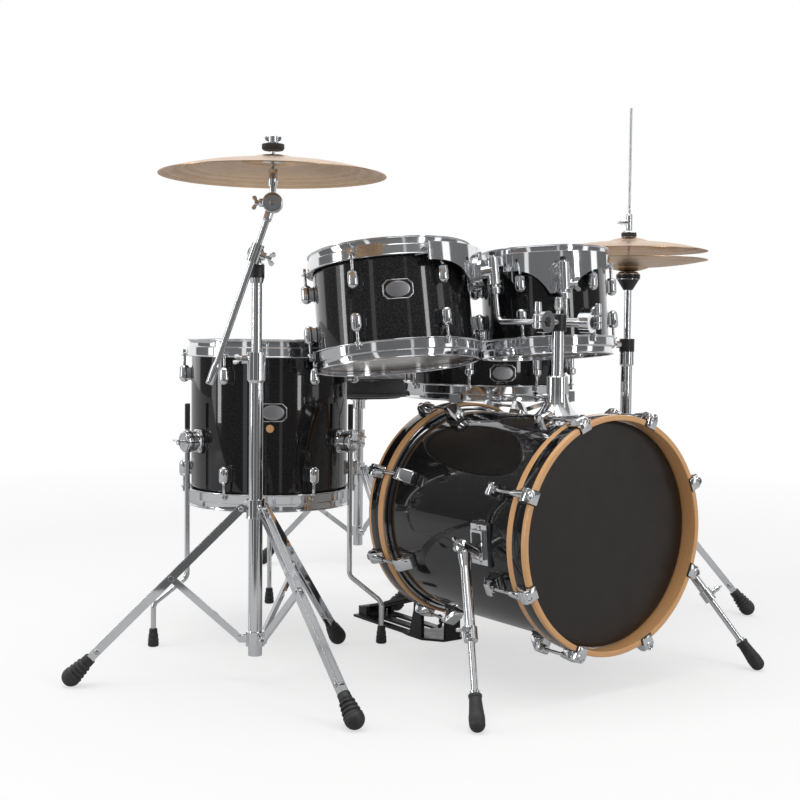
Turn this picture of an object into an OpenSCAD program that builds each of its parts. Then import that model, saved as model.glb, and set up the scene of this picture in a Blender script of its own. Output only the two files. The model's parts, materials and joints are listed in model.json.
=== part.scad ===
// Five-piece acoustic drum kit with stands, pedals and seat.
// Millimetres, +Z up. The audience is at -Y, the drummer sits at +Y.
// Origin: on the floor, under the middle of the kit's own plan.

/* [Bass drum] */
// Outer diameter of the bass drum shell
bass_d = 406; // [360:1:460]
// Length of the bass drum shell
bass_depth = 406; // [330:1:460]
// Height of the bass drum's axis above the floor
bass_axis_z = 283; // [260:1:330]
// Wall of the bass drum shell
bass_wall = 8; // [5:0.5:12]
// Radial thickness of the wooden hoops
hoop_wall = 10; // [8:0.5:14]
// Width of the wooden hoops along the drum
hoop_depth = 48; // [40:1:60]
// How far a hoop stands in front of its head
hoop_lead = 30.5; // [24:0.5:36]
// Width of the black inlay in the hoops
inlay_w = 12; // [6:1:16]
// Claws on each hoop
claw_count = 8; // [6:2:10]
// Width of a claw
claw_w = 24; // [18:1:30]
// Distance of a bass lug from the shell's edge
bass_lug_inset = 56; // [48:1:90]

/* [Bass drum spurs] */
// Distance of each spur foot from the drum's centre line
spur_spread = 345; // [300:1:400]
// Distance of each spur foot in front of the drum
spur_reach = 39; // [10:1:80]
// Distance of the spur bracket behind the front of the drum
spur_bracket_y = 130; // [115:1:180]
// Outer diameter of the spur tube
spur_tube_d = 18; // [14:0.5:22]
// Diameter of the sliding spur rod
spur_rod_d = 12; // [8:0.5:13]
// Radius of the round end of a spur foot
spur_foot_r = 13; // [10:0.5:18]

/* [Drum hardware] */
// Thickness of the steel rims
rim_t = 2.3; // [1.6:0.1:3]
// Height of a rim's lip above its head
rim_lip = 11.8; // [8:0.2:16]
// How far a rim reaches down over the shell
rim_skirt = 24; // [21:0.5:30]
// Thickness of the drum heads
film_t = 0.8; // [0.4:0.1:1.2]
// Wall of the tom, floor tom and snare shells
shell_wall = 7; // [5:0.5:9]
// Diameter of the tension rods
tension_rod_d = 6; // [5:0.5:7]
// Width of a lug casing
lug_w = 21; // [17:1:26]
// Height of a lug casing
lug_h = 36; // [28:1:42]
// Distance from a shell's edge to its lug casing
lug_inset = 44; // [40:1:50]

/* [Toms] */
// Outer diameter of the larger tom's shell
big_tom_d = 305; // [280:1:330]
// Length of the larger tom's shell
big_tom_depth = 203; // [190:1:230]
// Tilt of the larger tom towards the drummer, in degrees
big_tom_tilt = 9; // [3:0.5:15]
// Outer diameter of the smaller tom's shell
small_tom_d = 254; // [240:1:275]
// Length of the smaller tom's shell
small_tom_depth = 190; // [180:1:210]
// Tilt of the smaller tom towards the drummer, in degrees
small_tom_tilt = 5; // [1:0.5:12]
// Distance of the tom holder behind the front of the bass drum
post_y = 161; // [150:1:200]
// Height of the holder's clamps above the bass drum shell
post_rise = 177; // [165:1:230]
// Diameter of the tom holder's post
post_d = 22; // [19:0.5:25.4]
// Length of each holder arm, from the post to the ball
arm_len = 58; // [54:1:70]
// Diameter of the holder's balls
ball_d = 26; // [22:0.5:28]
// Diameter of the bent tom rods
tom_rod_d = 10.5; // [9:0.5:12.7]
// Height of the larger tom's upper edge above the middle of the holder's clamps
big_tom_lift = 123; // [115:1:160]
// Height of the smaller tom's upper edge above the middle of the holder's clamps
small_tom_lift = 131; // [120:1:160]

/* [Floor tom] */
// Outer diameter of the floor tom's shell
floor_tom_d = 330; // [300:1:356]
// Length of the floor tom's shell
floor_tom_depth = 323; // [300:1:380]
// Height of the floor tom's lower edge above the floor
floor_tom_z = 288.5; // [250:0.5:330]
// Distance of the floor tom's feet from its axis
floor_leg_reach = 268; // [240:1:300]
// Diameter of the floor tom's legs
floor_leg_d = 10.5; // [9.5:0.5:12.7]

/* [Snare drum] */
// Outer diameter of the snare drum's shell
snare_d = 356; // [330:1:360]
// Length of the snare drum's shell
snare_depth = 140; // [127:1:165]
// Height of the snare drum's lower edge above the floor
snare_z = 505; // [480:1:560]
// Diameter of the snare stand's lower tube
snare_tube_d = 25.4; // [22:0.2:28.6]

/* [Cymbals] */
// Diameter of the crash cymbal
crash_d = 402; // [356:1:457]
// Diameter of the hi-hat cymbals
hihat_d = 356; // [330:1:381]
// Thickness of the cymbals
cymbal_t = 1.4; // [1:0.1:2]
// Height of the crash cymbal's hole above the floor
crash_z = 951; // [930:1:1000]
// Gap between the hi-hat cymbals' edges at rest
hihat_gap = 20; // [12:1:30]

/* [Cymbal stand] */
// Diameter of the stand's lower tube
stand_tube_d = 25.4; // [22:0.2:28.6]
// Diameter of the stand's upper tube
upper_tube_d = 19; // [16:0.2:20]
// Height of the boom clamp above the floor
boom_pivot_z = 779; // [760:1:800]
// Diameter of the boom arm
boom_d = 11; // [9:0.5:12.7]
// Lean of the boom arm from upright, in degrees
boom_lean = 19; // [10:1:35]
// Direction in which the boom leans, seen from above
boom_turn = -35.5; // [-60:0.5:10]
// Distance of the stand's feet from its tube
stand_reach = 328; // [290:1:370]
// Height of the sliding collar's pivots above the floor
collar_z = 320; // [295:1:350]
// Height of the lower bracket's pivots above the floor
bracket_z = 83; // [70:1:100]
// Thickness of the leg rails
rail_t = 2.5; // [2:0.1:3.5]
// Height of the leg rails
rail_h = 15; // [12:0.5:18]
// Travel of the collar when the legs fold
fold_travel = 90; // [60:1:95]

/* [Hi-hat stand] */
// Height of the lower hi-hat cymbal's edge above the floor
hihat_z = 811; // [780:1:840]
// Height of the pull rod's top above the floor
hihat_rod_top = 1157; // [1100:1:1200]
// Diameter of the pull rod
pull_rod_d = 6.4; // [5.5:0.1:7]
// Distance of the hi-hat stand's feet from its tube
hihat_reach = 283; // [270:1:320]

/* [Pedals] */
// Width of a pedal's footboard
footboard_w = 78; // [66:1:90]
// Length of the bass drum pedal's footboard
footboard_len = 270; // [240:1:300]
// Height of the bass drum pedal's axle above the floor
axle_z = 215; // [205:1:240]
// Distance from the pedal's axle to the middle of the beater
beater_len = 165; // [140:1:180]

/* [Drum throne] */
// Diameter of the round seat
seat_d = 320; // [280:1:360]
// Thickness of the round seat
seat_t = 78; // [50:1:100]
// Height of the seat's top above the floor
seat_z = 545; // [480:1:620]
// Distance of the throne's feet from its tube
throne_reach = 262; // [230:1:300]

/* [Layout] */
// Sideways place of the larger tom
big_tom_x = -180; // [-200:1:-175]
// Depth place of the larger tom
big_tom_y = 456; // [445:1:480]
// Sideways place of the smaller tom
small_tom_x = 134; // [128:1:150]
// Depth place of the smaller tom
small_tom_y = 358; // [350:1:375]
// Sideways place of the floor tom
floor_tom_x = -270; // [-300:1:-262]
// Depth place of the floor tom
floor_tom_y = 766; // [756:1:800]
// Sideways place of the snare drum
snare_x = 245; // [235:1:270]
// Depth place of the snare drum
snare_y = 664; // [655:1:690]
// Sideways place of the cymbal stand
stand_x = -501; // [-540:1:-490]
// Depth place of the cymbal stand
stand_y = 411; // [390:1:430]
// Sideways place of the hi-hat stand
hihat_x = 507; // [500:1:540]
// Depth place of the hi-hat stand
hihat_y = 480; // [460:1:500]
// Sideways place of the throne
throne_x = 300; // [270:1:330]
// Depth place of the throne
throne_y = 1277; // [1240:1:1320]

/* [Hidden] */
$fn = 48;

// Colours of the finishes
c_black = [0.06, 0.06, 0.07];
c_chrome = [0.78, 0.78, 0.80];
c_wood = [0.80, 0.58, 0.33];
c_bronze = [0.72, 0.52, 0.30];
c_rubber = [0.10, 0.10, 0.10];
c_film = [0.85, 0.82, 0.76];

// Clearances
seat_gap = 0.3;     // between pieces that move past each other
run_gap = 0.05;     // radial, between a shaft and its bearing
head_gap = 0.5;     // between a shell and the collar of its head

// Drum sections, measured from the shell's outer wall and its bearing edge
edge_in = 3.2;      // inner side of the flat that carries the head
edge_out = 2;       // outer side of that flat
flesh_w = 7;        // outer side of the head's metal band
flesh_top = 6;      // depth of the band's top below the edge
flesh_bottom = 16;  // depth of the band's bottom below the edge
wall_in = 3;        // inner side of a rim's upper wall
skirt_in = 7.6;     // inner side of a rim's lower wall
lip_out = 8.5;      // outer side of a rim's rolled lip
flange_out = 13;    // outer side of a rim's bottom flange
rod_out = 15;       // axis of the tension rods
ear_d = 14;         // round end of a rim's ear
ear_rise = 0.3;      // how far an ear stands proud of the flange, above and below

vent_d = 12;        // air hole of a shell
tom_lugs = 6;       // lugs at each end of a tom
snare_lugs = 8;

// Bass drum
bass_r = bass_d / 2;
bass_top = bass_axis_z + bass_r;
hoop_r = bass_r + 13;                     // outer radius of a hoop
hoop_in = hoop_r - hoop_wall;             // inner radius of a hoop
bass_back_y = 2 * hoop_lead + bass_depth; // face of the batter hoop
claw_rod_r = hoop_r + 10.5;               // axis of the claw rods
claw_t = 3.5;                             // thickness of a claw's hook
gasket_t = 1;                             // rubber between claw and hoop
lug_len = 34;                             // length of a bass lug
claw_angle = 180 / claw_count;
inlay_lead = 21;                          // from a hoop's face to its inlay
inlay_t = 1.5;                            // thickness of the inlay

// Spurs
spur_pivot_r = bass_r + 40;
spur_pivot_angle = 4;                     // below the drum's middle
function spur_pivot(side) = [side * spur_pivot_r * cos(spur_pivot_angle), spur_bracket_y,
    bass_axis_z - spur_pivot_r * sin(spur_pivot_angle)];
function spur_foot(side) = [side * spur_spread, -spur_reach, spur_foot_r];
spur_tube_share = 0.55;                   // part of the leg that the tube covers
spur_eye_t = spur_tube_d + 3;             // length of the pivot eye
spur_pin_d = 8;

// Tom holder
base_r = 43;                              // foot of the holder's base
collar_r = 20;                            // collar of the base
base_h = 77;                              // height of the base on the shell
holder_z = bass_top + post_rise;
arm_sweep = 20;                           // how far the arms lean forward
ball_r = ball_d / 2;
function ball_at(side) = [side * arm_len * cos(arm_sweep), post_y - arm_len * sin(arm_sweep), holder_z];
tom_rod_out = 62;                         // tom rod's axis from the tom's shell
clamp_drop = 57;                          // middle of a tom's clamp below its edge
clamp_angle_big = 300;
clamp_angle_small = 240;
rod_bend_r = 16;
rod_top_h = -21;                          // top of a tom rod below the tom's edge
yoke_t = 2.5;                             // plate that carries a tom

// Turns a vector by the tilt t of a tom
function tilted(v, t) = [v.x, v.y * cos(t) + v.z * sin(t), v.z * cos(t) - v.y * sin(t)];
function unit(v) = v / norm(v);

// Floor tom
floor_edge_top = floor_tom_z + floor_tom_depth;
floor_r = floor_tom_d / 2;
floor_leg_r = floor_r + 28;               // axis of a leg's upper part
floor_leg_angles = [for (i = [0 : 2]) 180 + 120 * i];
floor_bracket_z = floor_tom_z + 125;
leg_top_z = floor_bracket_z + 78;
leg_foot_r = 11;
leg_knee_z = 134;
leg_ankle_z = 86;

// Snare
snare_r = snare_d / 2;
snare_lug_angle = 39;

snare_pivot_z = 420;                      // hinge of the basket
snare_reach = 205;                        // feet from the tube

// Stands
hub_r = 26;                               // hinges of legs and braces from the tube's axis
rail_y = 6;                               // middle of a leg's rail from the leg's middle
hinge_d = 5;
brace_t = 6;
foot_d = 34;                              // rubber foot
stand_turn = 30;                          // first leg of the cymbal stand
stand_mid = on_leg([hub_r, collar_z], foot_at(stand_reach), stand_reach * 0.46);
tube_low = 250;                           // lower end of the upper tube
joint_top = 603;                          // upper end of the lower tube's joint
tilter_d = 30;
boom_off = 26;                            // boom's axis from the tube's axis
boom_tail = 245;                          // boom below its clamp
boom_nose = 94;                           // boom above its clamp
tilter_drop = 83;                         // cymbal tilter below the crash
crash_rise = 24;                          // crash's edge to the start of its bell
crash_bell = 12;                          // height of the crash's bell
crash_bell_r = 58;

// Hi-hat
hihat_turn = -42;                         // first leg; the pedal points the other way
hat_joint = 631;
hat_cup_z = 743;                          // foot of the cup
hat_rise = 20;                            // edge to the start of the bell
hat_rise_low = 15;                        // the same for the lower cymbal
hat_bell = 11;                            // height of the bell
hat_bell_r = 50;
hihat_open_z = hihat_z + hihat_gap;
hat_seat_z = hihat_z - hat_rise_low - hat_bell - 0.2;
hat_link_z = 112;                         // lower end of the pull rod
hat_board_angle = 19;

// Pedals
heel_z = 20;                              // heel hinge above the floor
pedal_y = bass_back_y + 56;               // axle of the beater
cam_r = 20;                               // wheel that the chain pulls
board_angle = 17;                         // slope of the footboard at rest
board_x = (footboard_len - 18) * cos(board_angle) - cam_r - 2; // heel from the axle
hat_heel = (footboard_len - 16) * cos(hat_board_angle);        // heel from the pull rod
beater_rest = 24;                         // beater behind the upright at rest
beater_half = 25;                         // half the length of the beater's head
batter_y = bass_back_y - hoop_lead + film_t;
beater_strike = asin((pedal_y - beater_half - batter_y - 1) / beater_len); // lean as it strikes

// Throne
seat_low = seat_z - seat_t;

// Plan extents, so that the origin stays under the middle of the kit
seat_r = seat_d / 2;
min_x = min(stand_x - stand_reach * cos(30) - foot_d / 2, floor_tom_x - floor_leg_reach - 11);
max_x = max(hihat_x + hihat_reach * cos(42) + foot_d / 2, throne_x + throne_reach * cos(20) + foot_d / 2);
min_y = -spur_reach - spur_foot_r;
max_y = max(throne_y + throne_reach * sin(140) + foot_d / 2, throne_y + seat_r);
kit_x = -(min_x + max_x) / 2;
kit_y = -(min_y + max_y) / 2;

// ---------- Shapes that repeat ----------

// Copies round the Z axis
module spread(n, a0 = 0) for (i = [0 : n - 1]) rotate([0, 0, a0 + 360 * i / n]) children();

// Puts a shape at the point a, with its +Z along the vector v
module aim(a, v) translate(a) rotate([0, acos(v.z / norm(v)), atan2(v.y, v.x)]) children();

// Round bar between two points
module bar(a, b, d) aim(a, b - a) cylinder(h = norm(b - a), d = d);

// A shape at both ends of a drum of the given depth
module both_ends(depth) {
    children();
    translate([0, 0, -depth]) mirror([0, 0, 1]) children();
}

// Angle through which a rod turns at point i of the path p
function turn(p, i) = acos(unit(p[i] - p[i - 1]) * unit(p[i + 1] - p[i]));

// One bend of a rod, from the direction u to the direction w
module bend(start, u, w, d, r) {
    c = unit(w - (w * u) * u);
    z = cross(-c, u);
    o = start + c * r;
    multmatrix([[-c.x, u.x, z.x, o.x], [-c.y, u.y, z.y, o.y], [-c.z, u.z, z.z, o.z], [0, 0, 0, 1]])
        rotate_extrude(angle = acos(u * w)) translate([r, 0]) circle(d = d);
}

// Round rod through the points p, with bends of radius r
module bent_rod(p, d, r) {
    n = len(p);
    cut = [for (i = [0 : n - 1]) i == 0 || i == n - 1 ? 0 : r * tan(turn(p, i) / 2)];
    for (i = [0 : n - 2]) {
        u = unit(p[i + 1] - p[i]);
        bar(p[i] + u * cut[i], p[i + 1] - u * cut[i + 1], d);
    }
    for (i = [1 : n - 2]) {
        u = unit(p[i] - p[i - 1]);
        w = unit(p[i + 1] - p[i]);
        bend(p[i] - u * cut[i], u, w, d, r);
        aim(p[i] - u * cut[i], u) sphere(d = d + 0.4);
        aim(p[i] + w * cut[i], w) sphere(d = d + 0.4);
    }
}

// Screw with a winged head, from the origin along +Z
module wing_bolt(len) {
    cylinder(d = 6, h = len + 1);
    translate([0, 0, len]) {
        cylinder(d = 10, h = 7);
        rotate([90, 0, 0]) linear_extrude(3.6, center = true) {
            translate([-10, 2]) square([20, 5]);
            for (s = [-1, 1]) translate([10 * s, 8]) circle(d = 9);
        }
    }
}

// Flat link with round ends, drawn in the XZ plane between two points
module link(a, b, w, t) {
    rotate([90, 0, 0]) linear_extrude(t, center = true) {
        for (p = [a, b]) translate(p) circle(d = w);
        translate(a) rotate(atan2(b.y - a.y, b.x - a.x)) translate([0, 0.1 - w / 2])
            square([norm(b - a), w - 0.2]);
    }
}

// Cylinder along Y through a point of the XZ plane
module cross_pin(p, d, len) translate([p.x, 0, p.y]) rotate([90, 0, 0]) cylinder(d = d, h = len, center = true);

// Rounded-end block standing on the XY plane
module stadium(w, h, t) linear_extrude(t) {
    for (s = [-1, 1]) translate([0, s * (h - w) / 2]) circle(d = w);
    square([w - 0.2, h - w], center = true);
}

// ---------- Drum pieces, in the drum's own frame ----------
// The frame's origin is in the plane of the upper bearing edge, +Z out of the drum.

// Open shell with a bearing edge at each end
module shell_tube(r, depth, wall) {
    ring = [[r - wall, edge_in - wall], [r - edge_in, 0], [r - edge_out, 0], [r, -edge_out]];
    rotate_extrude($fn = 96) polygon(concat(ring, [for (i = [3 : -1 : 0]) [ring[i].x, -depth - ring[i].y]]));
}

// Head: film over the bearing edge, folded down into its metal band
module head(r) {
    c = r + head_gap;
    rotate_extrude($fn = 96) polygon([[0, 0], [r - edge_out + 0.2, 0], [c, -edge_out - 0.3], [c, -flesh_bottom],
        [r + flesh_w, -flesh_bottom], [r + flesh_w, -flesh_top], [c + film_t, -flesh_top],
        [c + film_t, -edge_out], [r - edge_out + 0.5, film_t], [0, film_t]]);
}

// Triple-flanged steel rim with an ear for each tension rod
module rim(r, n, a0) {
    w = r + wall_in;
    s = r + skirt_in;
    difference() {
        union() {
            rotate_extrude($fn = 96) polygon([[w, -flesh_top], [w, rim_lip], [r + lip_out, rim_lip],
                [r + lip_out, rim_lip - rim_t], [w + rim_t, rim_lip - rim_t], [w + rim_t, rim_t - flesh_top],
                [s + rim_t, rim_t - flesh_top], [s + rim_t, rim_t - rim_skirt],
                [r + flange_out, rim_t - rim_skirt], [r + flange_out, -rim_skirt],
                [s, -rim_skirt], [s, -flesh_top]]);
            spread(n, a0) translate([0, 0, -rim_skirt]) {
                translate([r + rod_out, 0, -ear_rise]) cylinder(d = ear_d, h = rim_t + 2 * ear_rise);
                translate([s + rim_t / 2, 0.2 - ear_d / 2, -ear_rise / 2])
                    cube([rod_out - skirt_in - rim_t / 2, ear_d - 0.4, rim_t + ear_rise]);
            }
        }
        spread(n, a0) translate([r + rod_out, 0, -rim_skirt - 1])
            cylinder(d = tension_rod_d + 0.8, h = rim_t + 2);
    }
}

// Key-headed tension rod, its head on the rim's ear and its end in the lug
module tension_rod(r, lug_top) translate([r + rod_out, 0, 0]) {
    seat = rim_t - rim_skirt + ear_rise;
    translate([0, 0, -lug_top - 10]) cylinder(d = tension_rod_d, h = lug_top + 10 + seat + 1);
    translate([0, 0, seat]) cylinder(d = 9.4, h = 3);
    translate([-3, -3, seat + 2]) cube([6, 6, 9]);
}

// Bullet-shaped lug casing, seated on the shell; h is its height below its top
module lug(r, top, h, ends) {
    x = r + rod_out;
    difference() {
        union() {
            translate([x, 0, -top - h + lug_w / 2]) cylinder(d = lug_w, h = h - lug_w / 2 - 4);
            if (ends == 1) translate([x, 0, -top - h + lug_w / 2]) sphere(d = lug_w);
            if (ends == 2) {
                translate([x, 0, -top - h + 4]) cylinder(d = lug_w, h = lug_w / 2);
                translate([x, 0, -top - h]) cylinder(d1 = lug_w - 7, d2 = lug_w, h = 4);
            }
            translate([x, 0, -top - 4]) cylinder(d1 = lug_w, d2 = lug_w - 7, h = 4);
            translate([r - 4, -lug_w / 2 + 2, -top - h + 6]) cube([rod_out + 4, lug_w - 4, h - 12]);
        }
        translate([0, 0, -top - h - 1]) cylinder(r = r, h = h + 2, $fn = 96);
        translate([x, 0, -top - 14]) cylinder(d = tension_rod_d + 0.4, h = 15);
        if (ends == 2) translate([x, 0, -top - h - 1]) cylinder(d = tension_rod_d + 0.4, h = 15);
    }
}

// Lugs and tension rods of a drum with separate lugs at each end
module lug_set(r, depth, n, a0) {
    both_ends(depth) spread(n, a0) {
        lug(r, lug_inset, lug_h, 1);
        tension_rod(r, lug_inset);
    }
}

// Round vent in a shell, at the angle a
module vent(r, depth, a) rotate([0, 0, a]) translate([r - 20, 0, -depth / 2]) rotate([0, 90, 0])
    cylinder(d = vent_d, h = 40);

// ---------- Bass drum ----------

module bass_frame() translate([0, hoop_lead, bass_axis_z]) rotate([90, 0, 0]) children();

module bass_shell() color(c_black) difference() {
    bass_frame() shell_tube(bass_r, bass_depth, bass_wall);
    translate([0, post_y, bass_axis_z]) cylinder(d = post_d + 3, h = bass_r + 10);
}

// Wooden hoops with a groove for the inlay and a rebate over the head's band
module bass_hoops() color(c_wood) bass_frame() both_ends(bass_depth) {
    back = hoop_lead - hoop_depth;
    step = bass_r + flesh_w + 1;
    inlay = hoop_lead - inlay_lead;
    rotate_extrude($fn = 96) polygon([[hoop_in, hoop_lead - 1], [hoop_in + 1, hoop_lead], [hoop_r - 2, hoop_lead],
        [hoop_r, hoop_lead - 2], [hoop_r, inlay], [hoop_r - inlay_t, inlay], [hoop_r - inlay_t, inlay - inlay_w],
        [hoop_r, inlay - inlay_w], [hoop_r, back + 1.5], [hoop_r - 1.5, back], [step, back],
        [step, -flesh_top], [hoop_in, -flesh_top]]);
}

// Black inlays, and the rubber under each claw
module bass_hoop_trim() color(c_rubber) bass_frame() both_ends(bass_depth) {
    inlay = hoop_lead - inlay_lead;
    rotate_extrude($fn = 96) translate([hoop_r - inlay_t, inlay - inlay_w]) square([inlay_t, inlay_w]);
    spread(claw_count, claw_angle) rotate([90, 0, 0]) linear_extrude(claw_w + 3, center = true)
        polygon([[hoop_in - 1, hoop_lead], [hoop_in - 1, hoop_lead + gasket_t],
            [hoop_r + gasket_t, hoop_lead + gasket_t], [hoop_r + gasket_t, hoop_lead - 30],
            [hoop_r + 0.05, hoop_lead - 30], [hoop_r + 0.05, hoop_lead]]);
}

module bass_heads() color(c_black) bass_frame() both_ends(bass_depth) head(bass_r);

// Faceted lug boxes, each with the bore that takes its claw rod
module bass_lugs() color(c_chrome) bass_frame() both_ends(bass_depth) spread(claw_count, claw_angle) {
    top = -bass_lug_inset;
    axis = claw_rod_r;
    difference() {
        intersection() {
            rotate([90, 0, 0]) linear_extrude(26, center = true) polygon([[bass_r - 6, top + 1],
                [axis - 9, top - 3], [axis + 7, top], [axis + 9, top - 6], [axis + 8, top - 16],
                [axis - 10, top - lug_len], [bass_r - 6, top - lug_len]]);
            translate([bass_r - 8, 0, top + 2]) rotate([0, 90, 0]) cylinder(d1 = 44, d2 = 26, h = 48);
        }
        translate([0, 0, top - lug_len - 1]) cylinder(r = bass_r, h = lug_len + 4, $fn = 96);
        translate([axis, 0, top - 12]) cylinder(d = tension_rod_d + 0.4, h = 16);
    }
}

// Claws with their key rods
module bass_claws() color(c_chrome) bass_frame() both_ends(bass_depth) spread(claw_count, claw_angle) {
    f = hoop_lead + gasket_t;
    o = hoop_r + gasket_t;
    difference() {
        union() {
            rotate([90, 0, 0]) linear_extrude(claw_w, center = true) polygon([[hoop_in - 1, f],
                [hoop_in - 1, f + claw_t], [o + 8, f + claw_t], [o + 15, f + claw_t - 5], [o + 16, f - 12],
                [o + 3, f - 34], [o, f - 34], [o, f]]);
            translate([claw_rod_r, 0, f - 44]) cylinder(d1 = 10, d2 = 16, h = 34);
        }
        translate([claw_rod_r, 0, f - 45]) cylinder(d = tension_rod_d + 0.8, h = 60);
        translate([claw_rod_r, 0, f - 8]) cylinder(d = 11, h = 20);
        translate([0, 0, f - 46]) cylinder(r = o, h = 46 + 0.001, $fn = 96);
    }
    translate([claw_rod_r, 0, 0]) {
        translate([0, 0, -bass_lug_inset - 10]) cylinder(d = tension_rod_d, h = bass_lug_inset + f + 3);
        translate([0, 0, f - 8]) cylinder(d = 9.6, h = 3);
        translate([-3, -3, f - 6]) cube([6, 6, 9]);
    }
}

// ---------- Mounts on the bass drum ----------

function spur_dir(side) = unit(spur_foot(side) - spur_pivot(side));
function spur_len(side) = norm(spur_foot(side) - spur_pivot(side));
function spur_hinge(side) = unit(cross(spur_dir(side), [0, 1, 0]));

// Seat plate and pivot pin of one spur
module spur_bracket(side) {
    p = spur_pivot(side);
    out = side * spur_hinge(side);
    difference() {
        union() {
            turned = side > 0 ? spur_pivot_angle : 180 - spur_pivot_angle;
            translate([0, spur_bracket_y, bass_axis_z]) rotate([0, turned, 0]) {
                translate([bass_r - 5, -22, -36]) cube([11, 44, 72]);
                translate([bass_r + 3, -16, -26]) cube([9, 32, 52]);
            }
            aim(p - out * (spur_pivot_r - bass_r), out)
                cylinder(d = 24, h = spur_pivot_r - bass_r - spur_eye_t / 2 - seat_gap);
        }
        translate([0, 0, bass_axis_z]) rotate([-90, 0, 0]) cylinder(r = bass_r, h = 400, $fn = 96);
    }
    aim(p - out * 12, out) {
        cylinder(d = spur_pin_d, h = 12 + spur_eye_t / 2 + 2);
        translate([0, 0, 12 + spur_eye_t / 2 + seat_gap]) rotate([0, 0, 35]) wing_bolt(3);
    }
}

module spur_brackets() color(c_chrome) {
    spur_bracket(-1);
    spur_bracket(1);
}

// Flared foot and clamp collar for the tom post
module tom_mount_base() color(c_chrome) difference() {
    translate([0, post_y, bass_top]) {
        rotate_extrude() polygon(concat([[post_d / 2 + run_gap, -7], [base_r, -7], [base_r, 3]],
            [for (t = [0 : 0.125 : 1]) [collar_r + (base_r - 3 - collar_r) * pow(1 - t, 2), 5 + 38 * t]],
            [[collar_r, base_h - 2], [collar_r - 2, base_h], [post_d / 2 + run_gap, base_h]]));
        rotate([0, 0, 145]) translate([collar_r - 4, 0, base_h - 40]) rotate([0, 90, 0]) {
            cylinder(d = 15, h = 12);
            translate([0, 0, 6]) rotate([0, 0, 60]) wing_bolt(10);
        }
    }
    translate([0, 0, bass_axis_z]) rotate([-90, 0, 0]) cylinder(r = bass_r, h = 400, $fn = 96);
    translate([0, post_y, bass_top - 20]) cylinder(d = post_d + 2 * run_gap, h = 100);
}

// Outer tube of a spur, with its pivot eye and clamp collar
module spur_tube(side) color(c_chrome) {
    u = spur_dir(side);
    len = spur_len(side) * spur_tube_share;
    difference() {
        union() {
            aim(spur_pivot(side) - spur_hinge(side) * spur_eye_t / 2, spur_hinge(side))
                cylinder(d = 25, h = spur_eye_t);
            aim(spur_pivot(side), u) {
                cylinder(d = spur_tube_d, h = len);
                translate([0, 0, 14]) cylinder(d1 = 24, d2 = spur_tube_d, h = 26);
                translate([0, 0, len - 24]) cylinder(d = spur_tube_d + 6, h = 24);
                translate([0, 0, len - 12]) rotate([0, 0, side > 0 ? 60 : 120]) rotate([-90, 0, 0]) {
                    cylinder(d = 11, h = spur_tube_d / 2 + 7);
                    translate([0, 0, 6]) wing_bolt(spur_tube_d / 2 + 4);
                }
            }
        }
        aim(spur_pivot(side) - spur_hinge(side) * 20, spur_hinge(side))
            cylinder(d = spur_pin_d + 2 * run_gap, h = 40);
        aim(spur_pivot(side) + u * 16, u) cylinder(d = spur_rod_d + 2 * run_gap, h = len);
    }
}

// Sliding rod of a spur with its rubber foot and spike
module spur_rod(side) color(c_chrome) aim(spur_foot(side), -spur_dir(side)) {
    len = spur_len(side);
    sphere(r = spur_foot_r);
    cylinder(d = spur_rod_d, h = len - 24);
    rotate_extrude() polygon([[0, 4], [spur_foot_r - 1, 4], [spur_foot_r, 8], [spur_foot_r, 13],
        [spur_foot_r - 2, 14], [spur_foot_r - 2, 17], [spur_foot_r - 1, 18], [spur_foot_r - 3, 44],
        [spur_foot_r - 2, 45], [spur_foot_r - 2, 50], [0, 50]]);
}

// ---------- Tom holder ----------

function tom_at(side) = side < 0 ? [big_tom_x, big_tom_y, holder_z + big_tom_lift]
    : [small_tom_x, small_tom_y, holder_z + small_tom_lift];
function tom_tilt(side) = side < 0 ? big_tom_tilt : small_tom_tilt;
function tom_r(side) = (side < 0 ? big_tom_d : small_tom_d) / 2;
function clamp_a(side) = side < 0 ? clamp_angle_big : clamp_angle_small;
// Point of a tom rod at the height h in its tom's frame
function rod_at(side, h) = tom_at(side) + tilted([(tom_r(side) + tom_rod_out) * cos(clamp_a(side)),
    (tom_r(side) + tom_rod_out) * sin(clamp_a(side)), h], tom_tilt(side));
// Where the upright part of a rod meets the height of the balls
function rod_corner(side) = rod_at(side, (holder_z - rod_at(side, 0).z) / cos(tom_tilt(side)));
function rod_dir(side) = unit(ball_at(side) - rod_corner(side));

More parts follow.
